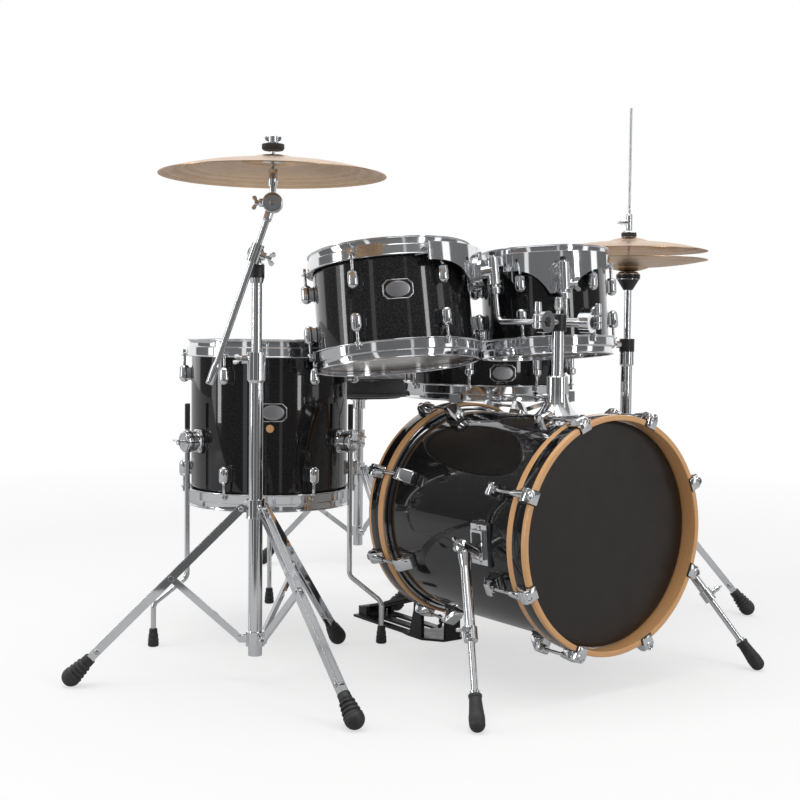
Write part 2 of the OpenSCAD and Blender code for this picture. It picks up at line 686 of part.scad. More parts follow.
// Post, its centre block, and the two split clamps that hold the balls
module tom_post() color(c_chrome) {
    difference() {
        union() {
            translate([0, post_y, bass_top - 50]) cylinder(d = post_d, h = post_rise + 36);
            translate([0, post_y, holder_z - 15]) cylinder(d = 30, h = 30);
            for (side = [-1, 1]) {
                arm = unit(ball_at(side) - [0, post_y, holder_z]);
                bar([0, post_y, holder_z], ball_at(side) - arm * (ball_r + 3), 18);
                aim(ball_at(side) - rod_dir(side) * 11, rod_dir(side)) cylinder(r = ball_r + 7, h = 22);
                translate(ball_at(side) + arm * (ball_r + 9) - [0, 0, 11]) cylinder(d = 15, h = 22);
            }
        }
        translate([0, post_y, bass_top - 51]) cylinder(d = post_d - 4, h = 150);
        for (side = [-1, 1]) {
            arm = unit(ball_at(side) - [0, post_y, holder_z]);
            aim(ball_at(side), rod_dir(side)) {
                sphere(r = ball_r + seat_gap);
                cylinder(r = ball_r * 0.74, h = 60, center = true);
            }
            aim(ball_at(side), arm) translate([-0.9, -30, 4]) cube([1.8, 60, 40]);
        }
    }
    translate([0, post_y, holder_z + 14]) {
        cylinder(d = 9, h = 12);
        translate([0, 0, 9]) cylinder(d1 = 13, d2 = 17, h = 5);
        translate([0, 0, 14]) cylinder(d1 = 17, d2 = 14, h = 18);
    }
    for (side = [-1, 1]) translate(ball_at(side) + unit(ball_at(side) - [0, post_y, holder_z]) * (ball_r + 9)) {
        translate([0, 0, -13]) cylinder(d = 9, h = 2);
        translate([0, 0, -12]) cylinder(d = 5, h = 34);
        translate([0, 0, 14]) cylinder(d1 = 12, d2 = 15, h = 5);
        translate([0, 0, 19]) cylinder(d1 = 15, d2 = 12, h = 17);
    }
}

// Bent rod that carries a tom, with the ball it turns on
module tom_rod(side) color(c_chrome) {
    bent_rod([rod_at(side, rod_top_h), rod_corner(side), ball_at(side)], tom_rod_d, rod_bend_r);
    translate(ball_at(side)) sphere(r = ball_r);
}

// ---------- Toms ----------

module tom_frame(side) translate(tom_at(side)) rotate([-tom_tilt(side), 0, 0]) children();

// Yoke that hangs on two tension rods, and the clamp for the tom rod
module tom_mount(r, a) color(c_chrome) rotate([0, 0, a]) {
    inner = r + rod_out + lug_w / 2 + 1;
    low = -rim_skirt - ear_rise;
    difference() {
        union() {
            intersection() {
                difference() {
                    translate([0, 0, -100]) cylinder(r = inner + yoke_t, h = 100, $fn = 96);
                    translate([0, 0, -101]) cylinder(r = inner, h = 102, $fn = 96);
                }
                rotate([90, 0, 90]) linear_extrude(r + 60) polygon(yoke_outline(inner * sin(42)));
            }
            intersection() {
                difference() {
                    translate([0, 0, low - yoke_t]) cylinder(r = inner + yoke_t, h = yoke_t - 0.05, $fn = 96);
                    translate([0, 0, low - yoke_t - 1]) cylinder(r = r + 8, h = yoke_t + 2, $fn = 96);
                }
                translate([0, -inner * sin(42), low - 10]) cube([r + 60, 2 * inner * sin(42), 20]);
            }
            translate([inner + yoke_t / 2, 0, -clamp_drop]) rotate([90, 0, 90]) {
                stadium(43, 62, 10);
                stadium(33, 50, 15);
                cylinder(d = 24, h = tom_rod_out + r - inner);
            }
            translate([r + tom_rod_out, 0, -clamp_drop - 26]) cylinder(d = tom_rod_d + 11, h = 52);
            translate([r + tom_rod_out, 0, -clamp_drop - 16]) rotate([-90, 0, 0]) {
                cylinder(d = 11, h = 15);
                translate([0, 0, 8]) rotate([0, 0, 90]) wing_bolt(10);
            }
        }
        translate([r + tom_rod_out, 0, -clamp_drop - 30]) cylinder(d = tom_rod_d + 2 * run_gap, h = 60);
        for (s = [-30, 30]) rotate([0, 0, s]) translate([r + rod_out, 0, low - 10])
            cylinder(d = tension_rod_d + 0.8, h = 20);
    }
}

// Outline of the yoke plate, half-width w, with filleted shoulders down to the tongue
function yoke_outline(w) = concat([[-w, -4], [w, -4], [w, -36]],
    [for (t = [0 : 0.125 : 1]) [w - (w - 20) * t, -38 - 48 * pow(t, 3)]],
    [for (t = [1 : -0.125 : 0]) [-w + (w - 20) * t, -38 - 48 * pow(t, 3)]], [[-w, -36]]);

module tom_shell(side, depth) color(c_black) tom_frame(side) difference() {
    shell_tube(tom_r(side), depth, shell_wall);
    vent(tom_r(side), depth, 120);
}
module tom_rims(side, depth) color(c_chrome) tom_frame(side) both_ends(depth)
    rim(tom_r(side), tom_lugs, clamp_a(side) + 30);
module tom_heads(side, depth) color(c_film) tom_frame(side) both_ends(depth) head(tom_r(side));
module tom_yoke(side) tom_frame(side) tom_mount(tom_r(side), clamp_a(side));
module tom_lug_sets(side, depth) color(c_chrome) tom_frame(side)
    lug_set(tom_r(side), depth, tom_lugs, clamp_a(side) + 30);

// ---------- Floor tom ----------

module floor_frame() translate([floor_tom_x, floor_tom_y, floor_edge_top]) children();

module floor_tom_shell() color(c_black) floor_frame() difference() {
    shell_tube(floor_r, floor_tom_depth, shell_wall);
    vent(floor_r, floor_tom_depth, 240);
}
module floor_tom_rims() color(c_chrome) floor_frame() both_ends(floor_tom_depth) rim(floor_r, tom_lugs, 30);
module floor_tom_heads() color(c_film) floor_frame() both_ends(floor_tom_depth) head(floor_r);

// Lugs, tension rods and the three leg brackets
module floor_tom_lugs() color(c_chrome) {
    floor_frame() lug_set(floor_r, floor_tom_depth, tom_lugs, 30);
    translate([floor_tom_x, floor_tom_y, floor_bracket_z]) spread(3, 180) difference() {
        union() {
            translate([floor_r - 4, -17, -24]) cube([10, 34, 48]);
            translate([floor_r, 0, 0]) rotate([0, 90, 0]) cylinder(d = 30, h = floor_leg_r - floor_r);
            translate([floor_leg_r, 0, -20]) cylinder(d = floor_leg_d + 11, h = 40);
            translate([floor_leg_r, 0, 0]) rotate([0, 90, 0]) {
                cylinder(d = 13, h = 14);
                rotate([0, 0, 70]) translate([0, 0, 8]) wing_bolt(10);
            }
        }
        translate([0, 0, -60]) cylinder(r = floor_r, h = 120, $fn = 96);
        translate([floor_leg_r, 0, -60]) cylinder(d = floor_leg_d + 2 * run_gap, h = 120);
    }
}

// Leg with its two bends and rubber foot
module floor_tom_leg(i) color(c_chrome) translate([floor_tom_x, floor_tom_y, 0])
    rotate([0, 0, floor_leg_angles[i]]) {
    bent_rod([[floor_leg_r, 0, leg_top_z], [floor_leg_r, 0, leg_knee_z], [floor_leg_reach, 0, leg_ankle_z],
        [floor_leg_reach, 0, 12]], floor_leg_d, 18);
    translate([floor_leg_reach, 0, 0]) {
        cylinder(r1 = 9.5, r2 = leg_foot_r, h = 2);
        translate([0, 0, 2]) cylinder(r = leg_foot_r, h = 12);
        translate([0, 0, 14]) cylinder(r1 = leg_foot_r, r2 = 8.5, h = 22);
    }
}

// ---------- Tripods ----------

// Rubber foot with ribs, its ball on the floor at the point f, along the direction u up the leg
module boot(f, u) {
    translate([f.x, 0, f.y]) sphere(d = foot_d);
    aim([f.x, 0, f.y], [u.x, 0, u.y]) rotate_extrude() polygon(concat([[0, 4]],
        [for (i = [0 : 3]) each [[15.5 - i, 5 + 8 * i], [15.5 - i, 9 + 8 * i],
            [13.5 - i, 10 + 8 * i], [13.5 - i, 12 + 8 * i]]],
        [[11, 38], [10.5, 48], [0, 48]]));
}

// Double-rail leg from its hinge at a to its foot at f; m is where its brace meets it
module leg(a, f, m) {
    u = unit(a - f);
    for (s = [-1, 1]) translate([0, s * rail_y, 0]) link(a, f + u * 30, rail_h, rail_t);
    cross_pin(a, hinge_d, 2 * rail_y + rail_t + 3);
    cross_pin(f + u * 66, 6, 2 * rail_y + rail_t + 2);
    for (s = [-1, 1]) translate([0, s * (rail_y + rail_t / 2 + 0.9), 0]) cross_pin(m, 10, 2);
    boot(f, u);
}

// Single bar from its hinge at b to the middle of the leg at m
module brace(b, m) difference() {
    union() {
        link(b, m, 13, brace_t);
        cross_pin(m, 11, 2 * (rail_y - rail_t / 2 - seat_gap));
    }
    cross_pin(b, hinge_d + 2 * run_gap, 20);
}

// Sliding collar with a tongue for each leg
module leg_collar(tube, z, a0) difference() {
    union() {
        translate([0, 0, z - 17]) cylinder(d = tube + 9, h = 34);
        translate([0, 0, z - 17]) cylinder(d1 = tube + 11, d2 = tube + 9, h = 4);
        spread(3, a0) link([tube / 2, z], [hub_r, z], 13, 2 * (rail_y - rail_t / 2 - seat_gap));
        rotate([0, 0, a0 + 60]) translate([tube / 2 + 2, 0, z + 6]) rotate([0, 90, 0]) {
            cylinder(d = 15, h = 9);
            rotate([0, 0, 50]) translate([0, 0, 4]) wing_bolt(9);
        }
    }
    translate([0, 0, z - 40]) cylinder(d = tube + 2 * run_gap, h = 80);
    spread(3, a0) cross_pin([hub_r, z], hinge_d + 2 * run_gap, 20);
}

// Fixed bracket with a fork and pin for each brace
module brace_bracket(tube, z, a0) {
    translate([0, 0, z - 13]) cylinder(d = tube + 9, h = 26);
    spread(3, a0) {
        for (s = [-1, 1]) translate([0, s * (brace_t / 2 + seat_gap + 1.5), 0])
            link([tube / 2, z], [hub_r, z], 13, 3);
        cross_pin([hub_r, z], hinge_d, brace_t + 2 * seat_gap + 7);
    }
}

// Point of a leg at the radius x
function on_leg(a, f, x) = a + (f - a) * (x - a.x) / (f.x - a.x);
function foot_at(reach) = [reach, foot_d / 2];

// Whole tripod whose legs stay put
module tripod(tube, top, low, reach, a0) {
    a = [hub_r, top];
    m = on_leg(a, foot_at(reach), reach * 0.46);
    leg_collar(tube, top, a0);
    brace_bracket(tube, low, a0);
    spread(3, a0) {
        leg(a, foot_at(reach), m);
        brace([hub_r, low], m);
    }
}

// Height joint: collar and wing bolt on the end of a tube at the height z
module tube_joint(tube, z, h, a) {
    translate([0, 0, z]) cylinder(d = tube + 8, h = h);
    translate([0, 0, z - 5]) cylinder(d1 = tube, d2 = tube + 8, h = 5.01);
    rotate([0, 0, a]) translate([tube / 2, 0, z + h - 13]) rotate([0, 90, 0]) {
        cylinder(d = 17, h = 13);
        rotate([0, 0, 60]) translate([0, 0, 7]) wing_bolt(9);
    }
}

// ---------- Cymbal stand ----------

module at_stand() translate([stand_x, stand_y, 0]) children();

// Lower tube with its bracket and height joint
module stand_base() color(c_chrome) at_stand() difference() {
    union() {
        translate([0, 0, 52]) cylinder(d = stand_tube_d, h = joint_top - 53);
        brace_bracket(stand_tube_d, bracket_z, stand_turn);
        tube_joint(stand_tube_d, joint_top - 50, 50, 144);
    }
    translate([0, 0, tube_low - 5]) cylinder(d = upper_tube_d + 2 * run_gap, h = 600);
}

// Upper tube, its bush and the fixed half of the boom tilter
module stand_tube() color(c_chrome) at_stand() {
    translate([0, 0, tube_low]) cylinder(d = upper_tube_d, h = boom_pivot_z - 30 - tube_low);
    translate([0, 0, boom_pivot_z - 52]) cylinder(d1 = upper_tube_d + 3, d2 = upper_tube_d + 8, h = 10);
    translate([0, 0, boom_pivot_z - 42]) cylinder(d = upper_tube_d + 8, h = 25);
    translate([0, 0, boom_pivot_z]) rotate([0, 0, boom_turn]) difference() {
        union() {
            rotate([90, 0, 0]) translate([0, 0, -10]) cylinder(d = tilter_d, h = 17);
            translate([-9, -6.5, -18]) cube([18, 14.5, 18]);
        }
        rotate([90, 0, 0]) cylinder(d = 8 + 2 * run_gap, h = 80, center = true);
    }
}

// Frames of the boom: the tilter's pivot, and the boom's own axis
module boom_frame() at_stand() translate([0, 0, boom_pivot_z]) rotate([0, 0, boom_turn]) children();
module on_boom() boom_frame() translate([0, -boom_off, 0]) rotate([0, boom_lean, 0]) children();

// Moving half of the tilter with the boom's socket
module boom_clamp() color(c_chrome) difference() {
    union() {
        boom_frame() {
            rotate([90, 0, 0]) translate([0, 0, 7 + seat_gap]) cylinder(d = tilter_d, h = boom_off - 15);
            rotate([90, 0, 0]) translate([0, 0, -16]) cylinder(d = 8, h = 30);
            rotate([-90, 0, 0]) translate([0, 0, 10 + seat_gap]) cylinder(d = 15, h = 6);
        }
        on_boom() {
            translate([0, 0, -17]) cylinder(d = boom_d + 12, h = 34);
            rotate([0, 90, 0]) {
                cylinder(d = 14, h = 20);
                rotate([0, 0, 40]) translate([0, 0, 10]) wing_bolt(14);
            }
        }
    }
    on_boom() translate([0, 0, -40]) cylinder(d = boom_d + 2 * run_gap, h = 80);
}

// Boom with its grip, cymbal tilter, sleeve, washers and felts
module boom_arm() {
    color(c_chrome) {
        on_boom() {
            translate([0, 0, -boom_tail]) cylinder(d = boom_d, h = boom_tail + boom_nose);
            translate([0, 0, -boom_tail - 2]) cylinder(d = boom_d + 4, h = 34);
            translate([0, 0, -boom_tail + 32]) cylinder(d1 = boom_d + 4, d2 = boom_d, h = 8);
        }
        crash_frame() {
            translate([0, 0, -tilter_drop]) rotate([90, 0, 0]) {
                translate([0, 0, -13]) cylinder(d = 36, h = 12);
                translate([0, 0, 0]) cylinder(d = 36, h = 12);
                translate([0, 0, -16]) cylinder(d = 10, h = 32);
            }
            translate([0, 0, -tilter_drop]) rotate([0, -90, 0]) {
                cylinder(d = 16, h = 24);
                rotate([0, 0, 25]) translate([0, 0, 16]) wing_bolt(9);
            }
            translate([0, 0, -tilter_drop]) cylinder(d = 12, h = tilter_drop - 24);
            translate([0, 0, -56]) cylinder(d1 = 12, d2 = 17, h = 6);
            translate([0, 0, -50]) cylinder(d = 17, h = 26);
            translate([0, 0, -30]) cylinder(d = 8, h = 66);
            translate([0, 0, -13]) cylinder(d = 40, h = 2);
            translate([0, 0, 20]) cylinder(d = 22, h = 3);
            translate([0, 0, 23]) cylinder(d = 17, h = 12);
        }
    }
    color(c_rubber) crash_frame() {
        translate([0, 0, -11]) cylinder(d = 40, h = 6);
        translate([0, 0, -5]) cylinder(d1 = 40, d2 = 14, h = 4);
        translate([0, 0, 9]) cylinder(d1 = 32, d2 = 40, h = 3);
        translate([0, 0, 12]) cylinder(d = 40, h = 8);
    }
}

// Frame at the crash's hole
module crash_frame() boom_frame()
    translate([boom_nose * sin(boom_lean), -boom_off, crash_z - boom_pivot_z]) children();

function cymbal_h(x, r, b, rise, bell) = x > b ? rise * (1 - pow((x - b) / (r - b), 1.7))
    : rise + bell * (1 - pow(x / b, 2.2));

// Cymbal with its edge at height 0, its bell upwards and a hole in the middle
module cymbal(r, b, rise, bell, hole) {
    xs = concat([for (i = [0 : 12]) r + (b - r) * i / 12], [for (i = [1 : 8]) b + (hole - b) * i / 8]);
    n = len(xs) - 1;
    rotate_extrude($fn = 96) polygon(concat([for (x = xs) [x, cymbal_h(x, r, b, rise, bell)]],
        [for (i = [n : -1 : 0]) [xs[i], cymbal_h(xs[i], r, b, rise, bell) + cymbal_t]]));
}

module crash_cymbal() color(c_bronze) crash_frame() translate([0, 0, -crash_rise - crash_bell])
    cymbal(crash_d / 2, crash_bell_r, crash_rise, crash_bell, 6);

module stand_collar() color(c_chrome) at_stand() leg_collar(stand_tube_d, collar_z, stand_turn);
module stand_leg(i) color(c_chrome) at_stand() rotate([0, 0, stand_turn + 120 * i])
    leg([hub_r, collar_z], foot_at(stand_reach), stand_mid);
module stand_brace(i) color(c_chrome) at_stand() rotate([0, 0, stand_turn + 120 * i])
    brace([hub_r, bracket_z], stand_mid);

// ---------- Hi-hat ----------

module at_hihat() translate([hihat_x, hihat_y, 0]) children();

// Tubes, tripod, cymbal cup and pedal base
module hihat_stand() {
    color(c_chrome) at_hihat() {
        difference() {
            union() {
                translate([0, 0, 140]) cylinder(d = stand_tube_d, h = hat_joint - 140);
                tube_joint(stand_tube_d, hat_joint - 58, 58, 150);
                translate([0, 0, hat_joint - 20]) cylinder(d = 17, h = hat_cup_z - hat_joint + 20);
                tripod(stand_tube_d, 330, 165, hihat_reach, hihat_turn);
                rotate([0, 0, hihat_turn + 180]) {
                    for (s = [-1, 1]) translate([0, s * (footboard_w / 2 + 5) - 3, 0]) {
                        cube([hat_heel + 16, 6, 6]);
                        translate([-8, 0, 0]) cube([16, 6, 141]);
                    }
                    translate([-8, -footboard_w / 2 - 8, 130]) cube([16, footboard_w + 16, 11]);
                    heel(hat_heel);
                }
            }
            translate([0, 0, 100]) cylinder(d = pull_rod_d + 2.2, h = 1000);
        }
    }
    color(c_rubber) at_hihat() difference() {
        translate([0, 0, hat_cup_z]) {
            cylinder(d1 = 20, d2 = 50, h = 24);
            translate([0, 0, 24]) cylinder(d = 54, h = 12);
            translate([0, 0, 36]) cylinder(d1 = 54, d2 = 40, h = hat_seat_z - hat_cup_z - 36);
        }
        translate([0, 0, hat_cup_z - 1]) cylinder(d = pull_rod_d + 2.2, h = 100);
    }
}

module hihat_bottom_cymbal() color(c_bronze) at_hihat() translate([0, 0, hihat_z + cymbal_t]) mirror([0, 0, 1])
    cymbal(hihat_d / 2, hat_bell_r, hat_rise_low, hat_bell, 5);
module hihat_top_cymbal() color(c_bronze) at_hihat() translate([0, 0, hihat_open_z])
    cymbal(hihat_d / 2, hat_bell_r, hat_rise, hat_bell, 5);

// Pull rod with the clutch that carries the upper cymbal
module hihat_pull_rod() {
    bell = hihat_open_z + hat_rise + hat_bell + cymbal_t;
    color(c_chrome) at_hihat() {
        translate([0, 0, hat_link_z]) cylinder(d = pull_rod_d, h = hihat_rod_top - hat_link_z);
        translate([0, 0, bell - 6]) cylinder(d = 9.6, h = 20);
        translate([0, 0, bell + 11]) cylinder(d = 24, h = 3);
        translate([0, 0, bell + 14]) cylinder(d = 15, h = 36);
        translate([0, 0, bell + 50]) cylinder(d1 = 15, d2 = 12, h = 3);
        translate([0, 0, bell + 34]) rotate([0, 90, 144]) {
            cylinder(d = 12, h = 11);
            rotate([0, 0, 90]) translate([0, 0, 6]) wing_bolt(7);
        }
        translate([0, 0, bell - cymbal_t - 12]) cylinder(d = 18, h = 5);
        translate([0, 0, hat_link_z]) cylinder(d = 12, h = 15);
    }
    color(c_rubber) at_hihat() {
        translate([0, 0, bell + 0.02]) cylinder(d = 34, h = 11);
        translate([0, 0, bell - cymbal_t - 7]) cylinder(d = 22, h = 6.4);
    }
}

// ---------- Pedals ----------

// Ears and pin of a heel hinge, at the distance x from the pedal's front
module heel(x) {
    translate([x - 14, -footboard_w / 2 - 8, 0]) cube([44, footboard_w + 16, 5]);
    for (s = [-1, 1]) translate([x, s * (footboard_w / 2 - 5), 0]) {
        translate([-8, -4, 0]) cube([16, 8, heel_z]);
        translate([0, 0, heel_z]) rotate([90, 0, 0]) cylinder(d = 16, h = 8, center = true);
    }
    translate([x, 0, heel_z]) rotate([90, 0, 0]) cylinder(d = 6, h = footboard_w - 4, center = true);
    translate([x + 14, -footboard_w / 2 + 6, 5]) cube([16, footboard_w - 12, heel_z - 2]);
}

// Footboard with its hinge at the origin and its toe along +X
module footboard() {
    w = footboard_w;
    n = footboard_len - 14;
    difference() {
        union() {
            translate([0, 0, 3]) linear_extrude(5) offset(r = 7) offset(delta = -7) polygon([
                [4, 10 - w / 2], [4, w / 2 - 10], [n * 0.4, w / 2], [n - 26, w / 2], [n, w * 0.25],
                [n, -w * 0.25], [n - 26, -w / 2], [n * 0.4, -w / 2]]);
            for (s = [-1, 1]) translate([0, s * 17 - 2, -3]) cube([n - 30, 4, 7]);
            rotate([90, 0, 0]) cylinder(d = 12, h = w - 20, center = true);
            translate([n - 20, 0, 7]) cylinder(d = 18, h = 5);
        }
        rotate([90, 0, 0]) cylinder(d = 6 + 2 * run_gap, h = w, center = true);
        for (i = [0 : 3], s = [-1, 1]) translate([n * 0.34 + 26 * i, s * 21 - 8, 2]) cube([10, 16, 8]);
    }
}

// Frame of a footboard: its heel hinge, turned up by the angle a
module on_heel(x, a) translate([x, 0, heel_z]) rotate([0, 0, 180]) rotate([0, -a, 0]) children();

module hihat_footboard() color(c_chrome) at_hihat() rotate([0, 0, hihat_turn + 180])
    on_heel(hat_heel, hat_board_angle) footboard();

// Frame whose origin is under the bass pedal's axle, +X towards the player
module at_pedal() translate([0, pedal_y, 0]) rotate([0, 0, 90]) children();

// Base plate, posts, hoop clamp and spring
module pedal_frame() color(c_chrome) at_pedal() {
    post = footboard_w / 2 + 9;
    back = bass_back_y - pedal_y + 0.5;
    jaw_low = bass_axis_z - hoop_r - seat_gap;
    jaw_high = bass_axis_z - hoop_in + 1.2;
    difference() {
        linear_extrude(5) offset(r = 6) offset(delta = -6) polygon([[back, -24], [back, 24], [-16, post + 5],
            [34, post + 5], [60, post], [board_x, post], [board_x, -post], [60, -post],
            [34, -post - 5], [-16, -post - 5]]);
        for (s = [-1, 1]) translate([42, s * 20 - 9, -1]) cube([board_x - 76, 18, 7]);
    }
    heel(board_x);
    for (s = [-1, 1]) difference() {
        union() {
            rotate([90, 0, 0]) translate([0, 0, s * post - 4]) linear_extrude(8)
                polygon([[-14, 0], [30, 0], [14, 60], [11, axle_z], [-11, axle_z], [-13, 60]]);
            translate([0, -s * post, axle_z]) rotate([90, 0, 0]) cylinder(d = 26, h = 12, center = true);
        }
        translate([0, -s * post, axle_z]) rotate([90, 0, 0])
            cylinder(d = 10 + 2 * run_gap, h = 30, center = true);
    }
    translate([back, -18, 0]) cube([9, 36, jaw_high + 9]);
    translate([back - 22, -18, jaw_low - 9]) cube([22.5, 36, 9]);
    translate([back - 15, -14, jaw_high]) cube([15.5, 28, 9]);
    translate([back + 4.5, 17, 44]) rotate([-90, 0, 0]) rotate([0, 0, 90]) wing_bolt(7);
    translate([6, -post - 9, 74]) cylinder(d = 5, h = 120);
    translate([6, -post - 9, 92]) cylinder(d = 14, h = 82);
    translate([-2, -post - 12, 66]) cube([16, 10, 10]);
}

module pedal_footboard() color(c_chrome) at_pedal() on_heel(board_x, board_angle) {
    footboard();
    translate([footboard_len - 18, 0, 6]) rotate([0, board_angle, 0]) translate([0, -5, 0]) cube([3, 10, 104]);
}

// Beater, stem, axle and cam, drawn at rest
module pedal_beater() {
    post = footboard_w / 2 + 9;
    color(c_chrome) at_pedal() translate([0, 0, axle_z]) {
        rotate([90, 0, 0]) rotate_extrude() polygon([[0, -post - 10], [5, -post - 10], [5, seat_gap + 6 - post],
            [8.5, seat_gap + 6 - post], [8.5, -10], [cam_r, -10], [cam_r, -6], [cam_r - 4, -6],
            [cam_r - 4, 6], [cam_r, 6], [cam_r, 10], [8.5, 10],
            [8.5, post - 6 - seat_gap], [5, post - 6 - seat_gap], [5, post + 6 + seat_gap],
            [11, post + 6 + seat_gap], [11, post + 12], [0, post + 12]]);
        rotate([0, beater_rest, 0]) {
            translate([-7, -8, 12]) cube([14, 16, 26]);
            cylinder(d = 8, h = beater_len);
        }
    }
    color(c_film) at_pedal() translate([0, 0, axle_z]) rotate([0, beater_rest, 0]) translate([0, 0, beater_len])
        rotate([0, 90 + beater_strike, 0]) rotate_extrude() polygon([[0, -beater_half], [19, -beater_half],
            [22.5, 4 - beater_half], [22.5, beater_half - 4], [19, beater_half], [0, beater_half]]);
}

// ---------- Snare drum ----------

module at_snare() translate([snare_x, snare_y, 0]) children();

// Tripod and tube with the fixed fork of the basket
module snare_stand() color(c_chrome) at_snare() {
    difference() {
        union() {
            translate([0, 0, 60]) cylinder(d = snare_tube_d, h = snare_pivot_z - 96);
            tripod(snare_tube_d, 230, 95, snare_reach, 30);
            tube_joint(snare_tube_d, snare_pivot_z - 100, 40, 210);
        }
        translate([0, 0, 40]) cylinder(d = snare_tube_d - 5, h = 60);
    }
    translate([0, 0, snare_pivot_z - 40]) cylinder(d = 17, h = 22);
    translate([-17, -11, snare_pivot_z - 20]) cube([34, 22, 7]);
    for (s = [-1, 1]) translate([s * 14 - 3, 0, 0]) {
        translate([0, -11, snare_pivot_z - 20]) cube([6, 22, 20]);
        translate([0, 0, snare_pivot_z]) rotate([0, 90, 0]) cylinder(d = 22, h = 6);
    }
    translate([-20, 0, snare_pivot_z]) rotate([0, 90, 0]) cylinder(d = 8, h = 40);
}

// Basket: hub, three arms and their rubber grips
module snare_basket() color(c_chrome) at_snare() translate([0, 0, snare_pivot_z]) {
    lip = snare_z - rim_lip - snare_pivot_z;
    tip = snare_r + skirt_in + rim_t + 1;
    difference() {
        union() {
            translate([-10.5, 0, 0]) rotate([0, 90, 0]) cylinder(d = 20, h = 21);
            translate([-9, -9, 0]) cube([18, 18, 18]);
            translate([0, 0, 14]) cylinder(d = 40, h = 14);
        }
        rotate([0, 90, 0]) cylinder(d = 8 + 2 * run_gap, h = 60, center = true);
    }
    translate([0, 0, 28]) cylinder(d = 12, h = 12);
    spread(3, 90) {
        rotate([90, 0, 0]) linear_extrude(9, center = true) polygon([[12, 15], [12, 27], [tip - 30, lip - 2],
            [tip + 8, lip - 2], [tip + 8, lip - 10], [tip - 28, lip - 10]]);
        difference() {
            translate([tip - 12, -11, lip - 8]) cube([26, 22, 24]);
            translate([tip - 14, -12, lip - 0.4]) cube([14, 24, 30]);
        }
    }
}

module snare_frame() translate([snare_x, snare_y, snare_z + snare_depth]) children();

module snare_shell() color(c_black) snare_frame() difference() {
    shell_tube(snare_r, snare_depth, shell_wall);
    vent(snare_r, snare_depth, snare_lug_angle + 247.5);
}
module snare_rims() color(c_chrome) snare_frame() both_ends(snare_depth)
    rim(snare_r, snare_lugs, snare_lug_angle);

// Heads, and the wires under the lower one
module snare_heads() color(c_film) {
    snare_frame() both_ends(snare_depth) head(snare_r);
}

// Double-ended lugs, tension rods, strainer with its lever, and butt plate
module snare_lugs_all() color(c_chrome) snare_frame() {
    spread(snare_lugs, snare_lug_angle) lug(snare_r, lug_inset, snare_depth - 2 * lug_inset, 2);
    both_ends(snare_depth) spread(snare_lugs, snare_lug_angle) tension_rod(snare_r, lug_inset);
    for (k = [0, 1]) rotate([0, 0, snare_lug_angle + 67.5 + 180 * k]) difference() {
        union() {
            translate([snare_r - 3, -15, -96 + 10 * k]) cube([13, 30, 52 - 10 * k]);
            translate([snare_r + 8, -9, -104]) cube([8, 18, 34]);
            if (k == 0) {
                translate([snare_r + 16, -7, -88]) rotate([0, 12, 0]) cube([5, 14, 50]);
                translate([snare_r + 12, 0, -88]) rotate([90, 0, 0]) cylinder(d = 14, h = 24, center = true);
            }
        }
        translate([0, 0, -110]) cylinder(r = snare_r, h = 110, $fn = 96);
    }
    rotate([0, 0, snare_lug_angle + 67.5]) {
        for (i = [-9 : 9]) translate([-150, i * 2.2 - 0.6, -snare_depth - film_t - 1.4]) cube([300, 1.2, 1.2]);
        for (s = [-1, 1]) translate([s * 150 - 6, -23, -snare_depth - film_t - 1.6]) cube([12, 46, 1.5]);
    }
}

// ---------- Throne ----------

module at_throne() translate([throne_x, throne_y, 0]) children();

// Tripod, tube and the bearing that the seat turns on
module throne_base() color(c_chrome) at_throne() {
    translate([0, 0, 60]) cylinder(d = stand_tube_d, h = 300);
    tripod(stand_tube_d, 270, 100, throne_reach, 20);
    tube_joint(stand_tube_d, 330, 46, 250);
    translate([0, 0, 370]) cylinder(d = 22, h = seat_low - 370 - 12);
    translate([0, 0, seat_low - 34]) cylinder(d = 34, h = 22);
    translate([0, 0, seat_low - 13]) cylinder(d = 16, h = 16);
}

// Padded seat on its plate
module throne_seat() color(c_black) at_throne() difference() {
    union() {
        translate([0, 0, seat_low - 11.7]) cylinder(d = 46, h = 12);
        translate([0, 0, seat_low - 4]) cylinder(d = seat_d * 0.7, h = 4);
        translate([0, 0, seat_low]) rotate_extrude($fn = 96) polygon(concat([[0, 0], [seat_r - 14, 0]],
            [for (a = [-75 : 15 : 90])
                [seat_r - 24 + 24 * cos(a), 24 + 24 * sin(a) + max(a, 0) * (seat_t - 56) / 90]],
            [for (t = [0.25 : 0.25 : 1]) [(seat_r - 24) * (1 - t), seat_t - 8 + 8 * (1 - pow(1 - t, 2))]]));
    }
    translate([0, 0, seat_low - 20]) cylinder(d = 16 + 2 * run_gap, h = 23.5);
}

// ---------- The kit ----------

